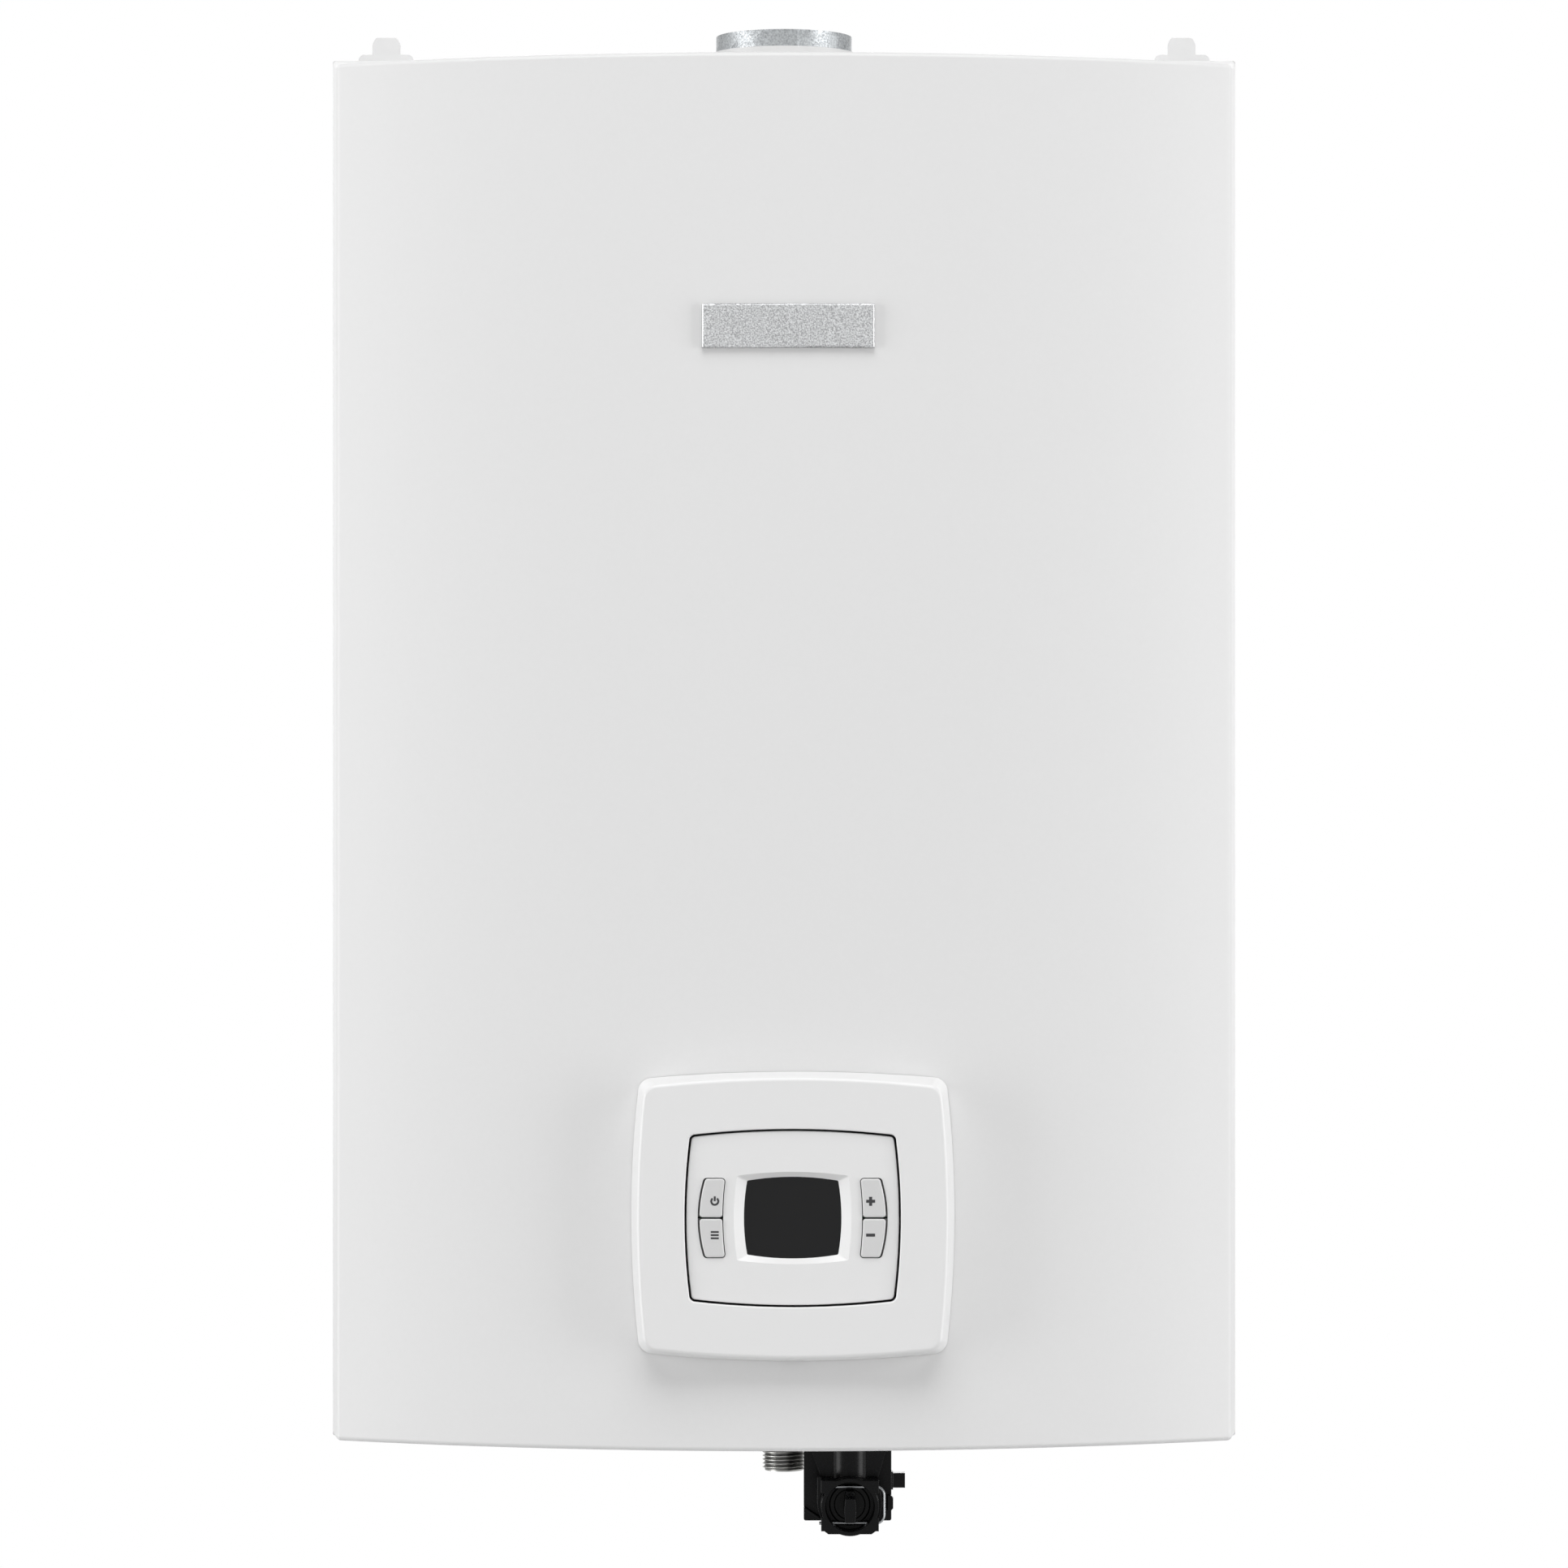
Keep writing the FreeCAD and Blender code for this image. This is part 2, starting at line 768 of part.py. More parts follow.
def make_top_panel():
    """Top sheet with the drawn neck round the flue."""
    body = new_body("top_panel")
    plate = new_sketch(body, "XY_Plane", f"{TOP} - sheet_gauge")
    rectangle(plate, f"-{INNER_HALF}", INNER_HALF, RIM, "-sheet_gauge")
    inner = "(flue_outer_radius + neck_gap)"
    outer = f"({inner} + neck_wall)"
    disc(plate, "0", "-flue_setback", inner)
    feature(body, "Pad", plate, Length="sheet_gauge")
    neck = new_sketch(body, "XZ_Plane", "flue_setback")
    outline(neck, [
        (inner, f"{TOP} - sheet_gauge"),
        (f"{outer} + neck_flare", f"{TOP} - sheet_gauge"),
        (f"{outer} + neck_flare", TOP),
        (outer, f"{TOP} + neck_flare", "neck_flare", 1),
        (outer, f"{TOP} + neck_rise"),
        (inner, f"{TOP} + neck_rise"),
    ])
    turned = feature(body, "Revolution", neck)
    turned.ReferenceAxis = (neck, ["V_Axis"])
    turned.Angle = FULL_TURN
    doc.recompute()


def make_bottom_panel():
    """Bottom sheet with the holes for pipes and cable and the slots for combustion air."""
    body = new_body("bottom_panel")
    sketch = new_sketch(body, "XY_Plane", FLOOR)
    rectangle(sketch, f"-{INNER_HALF}", INNER_HALF, RIM, "-sheet_gauge")
    disc(sketch, "0", "-gas_setback", "gas_pipe_radius + hole_gap")
    disc(sketch, "-hot_shift", "-gas_setback", "gas_pipe_radius + hole_gap")
    disc(sketch, "water_shift", "-water_setback", "column_radius + hole_gap")
    disc(sketch, GLAND_X, "-gland_setback", "gland_radius + hole_gap")
    far = "-slot_setback + slot_length / 2"
    near = "-slot_setback - slot_length / 2"
    for side in ("-", ""):
        for step in range(int(value("slot_count"))):
            x = f"{side}({INNER_HALF} - slot_inset + {step} * slot_pitch)"
            outline(sketch, [
                (f"{x} - slot_width / 2", far, "slot_end_radius", -1),
                (f"{x} - slot_width / 2", near),
                (f"{x} + slot_width / 2", near, "slot_end_radius", -1),
                (f"{x} + slot_width / 2", far),
            ])
    feature(body, "Pad", sketch, Length="sheet_gauge")


def make_front_cover():
    """Pan with a bowed front and flared edges, hollowed to one sheet and open at the back."""
    body = new_body("front_cover")
    plan = new_sketch(body, "XY_Plane", FLOOR)
    outline(plan, [
        ("-casing_width / 2", COVER_REAR),
        (f"-{COVER_HALF}", BEND),
        (COVER_HALF, BEND, BOW, -1),
        ("casing_width / 2", COVER_REAR),
    ])
    pan = feature(body, "Pad", plan, Length="casing_height")
    upright = runs_along(Z_AXIS)
    at_bend = lies_at(Y_AXIS, BEND)
    dress(body, "Fillet", pan, lambda edge: upright(edge) and at_bend(edge), Radius="cover_side_radius")
    brow = new_sketch(body, "YZ_Plane", "-casing_width / 2")
    run = f"({COVER_REAR} - ({BEND}))"
    sweep = f"(({run} ^ 2 + cover_brow ^ 2) / (2 * cover_brow))"
    outline(brow, [
        (COVER_REAR, TOP, sweep, -1),
        (COVER_REAR, f"{TOP} + cover_brow"),
        (f"{FRONT} - cover_brow", f"{TOP} + cover_brow"),
        (f"{FRONT} - cover_brow", BROW),
        (BEND, BROW),
    ])
    pan = feature(body, "Pocket", brow, backwards=True, Length="casing_width")
    at_rear = lies_at(Y_AXIS, COVER_REAR)
    at_floor = lies_at(Z_AXIS, FLOOR)
    brow_level = value(BROW)
    bend_level = value(BEND)

    def at_rim(edge):
        """Test for the edges round the top and the bottom, without the fold behind the brow."""
        box = edge.BoundBox
        fold = box.YLength < NEAR and abs(box.YMin - bend_level) < NEAR
        return (at_floor(edge) or box.ZMin > brow_level - NEAR) and not at_rear(edge) and not fold

    pan = dress(body, "Fillet", pan, at_rim, Radius="cover_edge_radius")
    rear = value(COVER_REAR)
    open_face = [f"Face{n}" for n, face in enumerate(pan.Shape.Faces, start=1)
                 if abs(face.BoundBox.YMin - rear) < NEAR and abs(face.BoundBox.YMax - rear) < NEAR]
    shell = body.newObject("PartDesign::Thickness", "shell")
    shell.Base = (pan, open_face)
    shell.Reversed = True
    bind(shell, Value="sheet_gauge")
    doc.recompute()
    window = new_sketch(body, "XZ_Plane")
    pillow(window, "panel_shift", PANEL_Z, "fascia_width + 2 * window_gap", "fascia_height + 2 * window_gap",
           "fascia_side_bow", "fascia_end_bow")
    for side in ("-", "+"):
        disc(window, f"panel_shift {side} screw_spread", PANEL_Z, "screw_radius + hole_gap")
    feature(body, "Pocket", window, backwards=True, Length=f"-{FRONT} + sheet_gauge")


def make_badge_plate():
    """Bare curved plate that follows the cover."""
    body = new_body("badge_plate")
    plan = new_sketch(body, "XY_Plane", f"{FLOOR} + badge_level - badge_height / 2")
    seat = f"({BOW} + glue_gap)"
    crown = f"({seat} + badge_gauge)"
    axis_y = f"({FRONT} + {BOW})"
    left = "(badge_shift - badge_width / 2)"
    right = "(badge_shift + badge_width / 2)"
    outline(plan, [
        (left, f"{axis_y} - sqrt({crown} ^ 2 - {left} ^ 2)"),
        (right, f"{axis_y} - sqrt({crown} ^ 2 - {right} ^ 2)", crown, -1),
        (right, f"{axis_y} - sqrt({seat} ^ 2 - {right} ^ 2)"),
        (left, f"{axis_y} - sqrt({seat} ^ 2 - {left} ^ 2)", seat, 1),
    ])
    plate = feature(body, "Pad", plan, Length="badge_height")
    reach = value(crown)
    centre_y = value(axis_y)

    def on_crown(edge):
        """Test for edges of the outer face."""
        return all(abs(math.hypot(spot.X, spot.Y - centre_y) - reach) < NEAR for spot in edge.Vertexes)

    dress(body, "Fillet", plate, on_crown, Radius="badge_edge")


def make_bezel():
    """Hollow frame of four arcs whose back follows the bowed cover."""
    body = doc.addObject("PartDesign::Body", "bezel_frame")
    back = f"{FRONT} + bezel_skirt"
    depth = "bezel_skirt + bezel_proud"
    base = new_sketch(body, "XZ_Plane", f"-({back})")
    pillow(base, "panel_shift", PANEL_Z, "bezel_width", "bezel_height", "bezel_side_bow", "bezel_end_bow")
    frame = feature(body, "Pad", base, Length=depth, TaperAngle="-bezel_taper")
    face_y = f"{FRONT} - bezel_proud"
    at_front = lies_at(Y_AXIS, face_y)
    at_back = lies_at(Y_AXIS, back)
    frame = dress(body, "Fillet", frame, lambda edge: not at_front(edge) and not at_back(edge),
                  Radius="bezel_corner")
    frame = dress(body, "Fillet", frame, at_front, Radius="bezel_edge")
    opening = new_sketch(body, "XZ_Plane", f"-({face_y})")
    open_width = "fascia_width + 2 * bezel_gap"
    open_height = "fascia_height + 2 * bezel_gap"
    pillow(opening, "panel_shift", PANEL_Z, open_width, open_height, "fascia_side_bow", "fascia_end_bow")
    frame = feature(body, "Pocket", opening, Length=depth)
    frame = dress(body, "Fillet", frame, runs_along(Y_AXIS), Radius="fascia_corner + bezel_gap")
    reach = value(open_width) / 2 + NEAR
    middle = value("panel_shift")
    dress(body, "Fillet", frame, lambda edge: at_front(edge) and edge.BoundBox.XMin > middle - reach
          and edge.BoundBox.XMax < middle + reach, Radius="bezel_lip")
    hollow = new_sketch(body, "XZ_Plane", f"-({back})")
    rim = f"({depth}) * tan(bezel_taper) + bezel_edge + bezel_wall"
    pillow(hollow, "panel_shift", PANEL_Z, f"bezel_width - 2 * ({rim})", f"bezel_height - 2 * ({rim})",
           "bezel_side_bow", "bezel_end_bow")
    pillow(hollow, "panel_shift", PANEL_Z, f"{open_width} + 2 * bezel_wall",
           f"{open_height} + 2 * bezel_wall", "fascia_side_bow", "fascia_end_bow")
    feature(body, "Pocket", hollow, backwards=True, Length=f"{depth} - bezel_wall")
    low = f"{PANEL_Z} - bezel_height"
    saddle = rod(f"{BOW} + seat_gap", "2 * bezel_height", "0", f"{FRONT} + {BOW}", low)
    edge = f"{PANEL_Z} - bezel_height / 2"
    notch = block("panel_shift - notch_width / 2", "panel_shift + notch_width / 2",
                  f"{back} - notch_depth", back, edge, f"{edge} + notch_height")
    piece("bezel", cut(body, saddle, notch))


def make_control_fascia():
    """Lid of the control box with the raised face, window, button slots, posts and screw bosses."""
    body = new_body("control_fascia")
    lid = new_sketch(body, "XZ_Plane", f"-{LID_BACK}")
    rectangle(lid, "panel_shift - lid_width / 2", "panel_shift + lid_width / 2",
              f"{PANEL_Z} - lid_height / 2", f"{PANEL_Z} + lid_height / 2")
    feature(body, "Pad", lid, Length="lid_gauge")
    raised = new_sketch(body, "XZ_Plane", f"-{LID_BACK}")
    pillow(raised, "panel_shift", PANEL_Z, "fascia_width", "fascia_height",
           "fascia_side_bow", "fascia_end_bow")
    face = feature(body, "Pad", raised, Length=f"{LID_BACK} - {FACE}")
    at_face = lies_at(Y_AXIS, FACE)
    along_y = runs_along(Y_AXIS)
    front = value(FACE)
    face = dress(body, "Fillet", face, lambda edge: along_y(edge) and edge.BoundBox.YMin < front + NEAR,
                 Radius="fascia_corner")
    dress(body, "Fillet", face, at_face, Radius="fascia_edge")
    bosses = new_sketch(body, "XZ_Plane", f"-{LID_BACK}")
    for side in ("-", "+"):
        disc(bosses, f"panel_shift {side} screw_spread", PANEL_Z, "boss_radius")
    feature(body, "Pad", bosses, Length=f"{LID_BACK} - {BOSS_FRONT}")
    drilled = new_sketch(body, "XZ_Plane", f"-{LID_BACK}")
    for side in ("-", "+"):
        disc(drilled, f"panel_shift {side} screw_spread", PANEL_Z, "screw_radius + shaft_gap")
    feature(body, "Pocket", drilled, backwards=True, Length=f"{LID_BACK} - {BOSS_FRONT}")
    hollow = new_sketch(body, "XZ_Plane", f"-{LID_BACK}")
    pillow(hollow, "panel_shift", PANEL_Z, "fascia_width - 2 * fascia_wall",
           "fascia_height - 2 * fascia_wall", "fascia_side_bow", "fascia_end_bow")
    feature(body, "Pocket", hollow, backwards=True, Length=f"{LID_BACK} - {FASCIA_INSIDE}")
    wide = new_sketch(body, "XZ_Plane", f"-{FACE}")
    pillow(wide, "panel_shift", PANEL_Z, "recess_width", "recess_height",
           "display_side_bow", "display_end_bow")
    narrow = new_sketch(body, "XZ_Plane", f"-{FASCIA_INSIDE}")
    pillow(narrow, "panel_shift", PANEL_Z, "display_width", "display_height",
           "display_side_bow", "display_end_bow")
    recess = body.newObject("PartDesign::SubtractiveLoft", "recess")
    recess.Profile = wide
    recess.Sections = [narrow]
    recess.Ruled = True
    doc.recompute()
    inside = value(FASCIA_INSIDE)
    dress(body, "Fillet", recess, lambda edge: not along_y(edge) and edge.BoundBox.YMin < front + NEAR
          and edge.BoundBox.YMax > inside - NEAR, Radius="display_corner")
    slots = new_sketch(body, "XZ_Plane", f"-{FACE}")
    for side in ("-", ""):
        button_outline(slots, side, "(-button_half - button_gap)", "(button_half + button_gap)",
                       "button_gap", "button_relief")
    slotted = feature(body, "Pocket", slots, Length="fascia_wall")
    near_side = value("button_inner - 2 * button_lip")
    far_side = value("button_reach + button_lip")
    middle = value("panel_shift")
    dress(body, "Fillet", slotted, lambda edge: along_y(edge)
          and near_side < abs(edge.BoundBox.XMin - middle) < far_side, Radius="button_lip + button_gap")
    posts = new_sketch(body, "XZ_Plane", f"-{BOARD_FRONT}")
    for side in ("-", "+"):
        for end in ("-", "+"):
            disc(posts, f"panel_shift {side} (fascia_width / 2 - 4 * post_radius)",
                 f"{PANEL_Z} {end} (fascia_height / 2 - 4 * post_radius)", "post_radius")
    feature(body, "Pad", posts, Length="board_depth")


def button_edge(reach, radius, z):
    """Distance of a bowed button side from the panel's centre at one height."""
    return f"({reach} - {radius} + sqrt({radius} ^ 2 - ({z}) ^ 2))"


def button_outline(sketch, side, low, high, grow, relief="0"):
    """Crescent strip left or right of the display, between two heights."""
    reach = f"(button_reach + {grow} + {relief})"
    inner = f"(button_inner - {grow})"
    turn = 1 if side == "-" else -1
    centre = f"panel_shift + {side}1 * "
    bottom = f"{PANEL_Z} + {low}"
    top = f"{PANEL_Z} + {high}"
    outline(sketch, [
        (f"{centre}{button_edge(inner, 'button_inner_bow', low)}", bottom, "button_inner_bow", -turn),
        (f"{centre}{button_edge(reach, 'button_outer_bow', low)}", bottom),
        (f"{centre}{button_edge(reach, 'button_outer_bow', high)}", top, "button_outer_bow", turn),
        (f"{centre}{button_edge(inner, 'button_inner_bow', high)}", top),
    ])


def make_button(label, side, upper):
    """Push button with a lip behind the fascia and a stem to its switch."""
    body = new_body(label)
    near = "(button_split / 2)"
    low, high = (near, "button_half") if upper else ("(-button_half)", f"(-{near})")
    lip_back = f"({FASCIA_INSIDE} + shaft_gap + button_lip)"
    cap = new_sketch(body, "XZ_Plane", f"-{lip_back}")
    button_outline(cap, side, low, high, "0")
    solid = feature(body, "Pad", cap, Length=f"{lip_back} - {FACE} + button_proud")
    along_y = runs_along(Y_AXIS)
    solid = dress(body, "Fillet", solid, along_y, Radius="button_lip")
    dress(body, "Fillet", solid, lies_at(Y_AXIS, f"{FACE} - button_proud"), Radius="button_lip / 2")
    lip = new_sketch(body, "XZ_Plane", f"-{lip_back}")
    button_outline(lip, side, low, high, "button_lip")
    feature(body, "Pad", lip, Length="button_lip")
    stem_end = f"({BOARD_FRONT} - switch_height - button_travel - button_free)"
    stem = new_sketch(body, "XZ_Plane", f"-{stem_end}")
    disc(stem, switch_x(side), switch_z(upper), "stem_radius")
    feature(body, "Pad", stem, Length=f"{stem_end} - {FACE}")


def switch_x(side):
    """Sideways place of a button's switch."""
    return f"panel_shift + {side}1 * (button_reach + button_inner) / 2"


def switch_z(upper):
    """Height of a button's switch."""
    return f"{PANEL_Z} {'+' if upper else '-'} button_half / 2"


def make_controls_behind():
    """Lens, LCD, board, switches, box and bracket behind the fascia."""
    lens = new_body("display_lens")
    sketch = new_sketch(lens, "XZ_Plane", f"-({FASCIA_INSIDE} + lens_gauge)")
    pillow(sketch, "panel_shift", PANEL_Z, "display_width + 2 * lens_lap", "display_height + 2 * lens_lap",
           "display_side_bow", "display_end_bow")
    feature(lens, "Pad", sketch, Length="lens_gauge")
    piece("lcd_panel", block(
        "panel_shift - display_width / 2", "panel_shift + display_width / 2",
        f"{FASCIA_INSIDE} + lens_gauge", BOARD_FRONT,
        f"{PANEL_Z} - display_height / 2", f"{PANEL_Z} + display_height / 2"))
    half_width = "(fascia_width / 2 - fascia_wall - fascia_side_bow - seat_gap)"
    half_height = "(fascia_height / 2 - fascia_wall - fascia_end_bow - seat_gap)"
    piece("control_board", block(
        f"panel_shift - {half_width}", f"panel_shift + {half_width}",
        BOARD_FRONT, f"{BOARD_FRONT} + board_gauge",
        f"{PANEL_Z} - {half_height}", f"{PANEL_Z} + {half_height}"))
    switches = []
    for side in ("-", ""):
        for upper in (True, False):
            x = switch_x(side)
            z = switch_z(upper)
            switches.append(block(
                f"{x} - switch_side / 2", f"{x} + switch_side / 2",
                f"{BOARD_FRONT} - switch_height", BOARD_FRONT,
                f"{z} - switch_side / 2", f"{z} + switch_side / 2"))
    piece("button_switches", group(*switches))
    left = "panel_shift - lid_width / 2"
    right = "panel_shift + lid_width / 2"
    low = f"{PANEL_Z} - lid_height / 2"
    high = f"{PANEL_Z} + lid_height / 2"
    outer = block(left, right, LID_BACK, BRACKET_FACE, low, high)
    inner = block(f"{left} + box_wall", f"{right} - box_wall", LID_BACK, f"{BRACKET_FACE} - box_wall",
                  f"{low} + box_wall", f"{high} - box_wall")
    piece("control_box", cut(outer, inner))
    plate_left = "panel_shift - bracket_width / 2"
    plate_right = "panel_shift + bracket_width / 2"
    plate = block(plate_left, plate_right, BRACKET_FACE, f"{BRACKET_FACE} + sheet_gauge", DECK, high)
    feet = [
        block(start, f"{start} + bracket_foot", BRACKET_FACE, f"{BRACKET_FACE} + foot_reach",
              DECK, f"{DECK} + sheet_gauge")
        for start in (plate_left, f"{plate_right} - bracket_foot")
    ]
    piece("control_bracket", fuse(plate, *feet))


def make_cover_screws():
    """Two captive screws that hold the cover to the control box."""
    screws = []
    for side in ("-", "+"):
        x = f"panel_shift {side} screw_spread"
        inner_edge = f"(screw_spread {side} panel_shift - screw_head_radius)"
        seat = f"({FRONT} + {inner_edge} ^ 2 / {BOW} / 2 - seat_gap)"
        head = rod("screw_head_radius", "screw_head_height", x, f"{seat} - screw_head_height", PANEL_Z, "y")
        shank = rod("screw_radius", f"{BOSS_FRONT} - {seat} + screw_bite", x, seat, PANEL_Z, "y")
        screws.append(fuse(head, shank))
    piece("cover_screws", group(*screws))


def make_burner():
    """Frame and blades of the burner."""
    half = STACK_HALF
    outer = block(f"-{half}", half, STACK_FRONT, STACK_BACK, BURNER_Z, CHAMBER_Z)
    inner = block(f"-{half} + stack_gauge", f"{half} - stack_gauge", f"{STACK_FRONT} + stack_gauge",
                  f"{STACK_BACK} - stack_gauge", BURNER_Z, CHAMBER_Z)
    piece("burner_frame", cut(outer, inner))
    body = new_body("burner_blades")
    body.AllowCompound = True
    sketch = new_sketch(body, "XZ_Plane", f"-({STACK_BACK} - stack_gauge - press_gap)")
    left = f"(-{BLADE_ROW} / 2)"
    outline(sketch, [
        (f"{left} - blade_width / 2", BURNER_Z),
        (f"{left} + blade_width / 2", BURNER_Z),
        (f"{left} + blade_width / 2", f"{BURNER_Z} + blade_height - blade_roof"),
        (left, f"{BURNER_Z} + blade_height"),
        (f"{left} - blade_width / 2", f"{BURNER_Z} + blade_height - blade_roof"),
    ])
    blade = feature(body, "Pad", sketch, Length="stack_depth - 2 * stack_gauge - 2 * press_gap")
    row = body.newObject("PartDesign::LinearPattern", "row")
    row.Originals = [blade]
    row.Direction = (origin_part(body, "X_Axis"), [""])
    bind(row, Length=BLADE_ROW, Occurrences="blade_count")
    body.Tip = row


def make_chamber():
    """Combustion chamber, sight glass and electrodes."""
    half = STACK_HALF
    outer = block(f"-{half}", half, STACK_FRONT, STACK_BACK, CHAMBER_Z, EXCHANGER_Z)
    inner = block(f"-{half} + stack_gauge", f"{half} - stack_gauge", f"{STACK_FRONT} + stack_gauge",
                  f"{STACK_BACK} - stack_gauge", CHAMBER_Z, EXCHANGER_Z)
    sight_z = f"({CHAMBER_Z} + {EXCHANGER_Z}) / 2 - sight_drop"
    holes = [rod("sight_radius", "stack_gauge", "0", STACK_FRONT, sight_z, "y")]
    ceramics = []
    electrode_z = f"{CHAMBER_Z} + electrode_rise"
    outside = "(ceramic_length - ceramic_bite - stack_gauge)"
    for step in (-1, 0, 1):
        x = f"{ELECTRODE_X} + {step} * electrode_pitch"
        holes.append(rod("ceramic_radius + hole_gap", "stack_gauge", x, STACK_FRONT, electrode_z, "y"))
        sleeve = rod("ceramic_radius", "ceramic_length", x, f"{STACK_FRONT} - {outside}", electrode_z, "y")
        tip = rod("rod_radius", "rod_length", x, f"{STACK_FRONT} + stack_gauge + ceramic_bite",
                  electrode_z, "y")
        ceramics.append(fuse(sleeve, tip))
    piece("combustion_chamber", cut(outer, inner, *holes))
    piece("electrodes", group(*ceramics))
    plate = block(f"{ELECTRODE_X} - electrode_plate / 2", f"{ELECTRODE_X} + electrode_plate / 2",
                  f"{STACK_FRONT} - stack_gauge", STACK_FRONT,
                  f"{electrode_z} - 2 * ceramic_radius", f"{electrode_z} + 2 * ceramic_radius")
    plate_holes = [
        rod("ceramic_radius + hole_gap", "stack_gauge", f"{ELECTRODE_X} + {step} * electrode_pitch",
            f"{STACK_FRONT} - stack_gauge", electrode_z, "y") for step in (-1, 0, 1)]
    piece("electrode_bracket", cut(plate, *plate_holes))
    piece("sight_glass", rod("sight_radius + sight_lap", "sight_gauge", "0", f"{STACK_FRONT} - sight_gauge",
                             sight_z, "y"))


def make_exchanger():
    """Shell, fins and the one tube that passes three times through them."""
    half = STACK_HALF
    outer = block(f"-{half}", half, STACK_FRONT, STACK_BACK, EXCHANGER_Z, HOOD_Z)
    inner = block(f"-{half} + stack_gauge", f"{half} - stack_gauge", f"{STACK_FRONT} + stack_gauge",
                  f"{STACK_BACK} - stack_gauge", EXCHANGER_Z, HOOD_Z)
    rows = (FRONT_TUBE, "(-stack_setback)", BACK_TUBE)
    shell_holes = [rod("tube_radius + press_gap", f"2 * {half}", f"-{half}", y, TUBE_Z, "x") for y in rows]
    piece("exchanger_shell", cut(outer, inner, *shell_holes))
    fins = []
    room = f"(2 * {half} - 2 * stack_gauge)"
    for step in range(int(value("fin_count"))):
        x = f"-{room} / 2 + {room} * ({step} + 1) / (fin_count + 1)"
        fins.append(block(
            f"{x} - fin_gauge / 2", f"{x} + fin_gauge / 2",
            f"{STACK_FRONT} + stack_gauge + press_gap", f"{STACK_BACK} - stack_gauge - press_gap",
            f"{TUBE_Z} - fin_height / 2", f"{TUBE_Z} + fin_height / 2"))
    fin_holes = [rod("tube_radius + press_gap", f"2 * {half}", f"-{half}", y, TUBE_Z, "x") for y in rows]
    piece("exchanger_fins", cut(group(*fins), *fin_holes))
    reach = f"({half} + tube_reach)"
    turn = f"({reach} + tube_pitch / 2)"
    first, middle, last = rows
    piece("exchanger_tube", pipe([
        (reach, first, TUBE_Z), (f"-{turn}", first, TUBE_Z), (f"-{turn}", middle, TUBE_Z),
        (turn, middle, TUBE_Z), (turn, last, TUBE_Z), (f"-{reach}", last, TUBE_Z),
    ], "tube_radius", "tube_pitch / 2"))


def frustum(bottom, top, z0, z1):
    """Upright solid between two level rectangles, each (x0, x1, y0, y1)."""
    item = doc.addObject("Part::Wedge", "frustum")
    bind(item, Xmin=bottom[0], Xmax=bottom[1], Zmin=f"-({bottom[3]})", Zmax=f"-({bottom[2]})",
         X2min=top[0], X2max=top[1], Z2min=f"-({top[3]})", Z2max=f"-({top[2]})",
         Ymin="0", Ymax=f"({z1}) - ({z0})")
    return place(item, "0", "0", z0, FreeCAD.Rotation(X_AXIS, 90))


def make_hood():
    """Sheet hood that gathers the flue gas under the fan."""
    half = STACK_HALF
    left = "(-hood_top_shift - hood_top_width / 2)"
    right = "(-hood_top_shift + hood_top_width / 2)"
    near = "(-stack_setback - hood_top_depth / 2)"
    far = "(-stack_setback + hood_top_depth / 2)"
    outer = frustum((f"-{half}", half, STACK_FRONT, STACK_BACK), (left, right, near, far), HOOD_Z, FAN_Z)
    wall = "stack_gauge"
    inner = frustum(
        (f"-{half} + {wall}", f"{half} - {wall}", f"{STACK_FRONT} + {wall}", f"{STACK_BACK} - {wall}"),
        (f"{left} + {wall}", f"{right} - {wall}", f"{near} + {wall}", f"{far} - {wall}"),
        HOOD_Z, f"{FAN_Z} - {wall}")
    eye = rod("wheel_eye", "2 * stack_gauge", "-fan_shift", FAN_Y, f"{FAN_Z} - 2 * stack_gauge")
    piece("flue_hood", cut(outer, inner, eye))


def scroll(sketch, inset):
    """Snail outline of three growing quarter arcs that opens to +X."""
    x = "(-fan_shift)"
    first = f"(scroll_radius - {inset})"
    second = f"(scroll_radius + scroll_step - {inset})"
    third = f"(scroll_radius + 2 * scroll_step - {inset})"
    low = f"{FAN_Y} - scroll_step - {third}"
    throat = f"{FAN_Y} - 3 * scroll_step - scroll_radius + scroll_outlet - {inset}"
    outline(sketch, [
        (f"{x} + {first}", FAN_Y),
        (x, f"{FAN_Y} + {first}", first, -1),
        (f"{x} - {first} - scroll_step", f"{FAN_Y} - scroll_step", second, -1),
        (f"{x} + scroll_step", low, third, -1),
        ("-elbow_width / 2", low),
        ("-elbow_width / 2", throat),
        (f"{x} + {first}", throat),
    ])


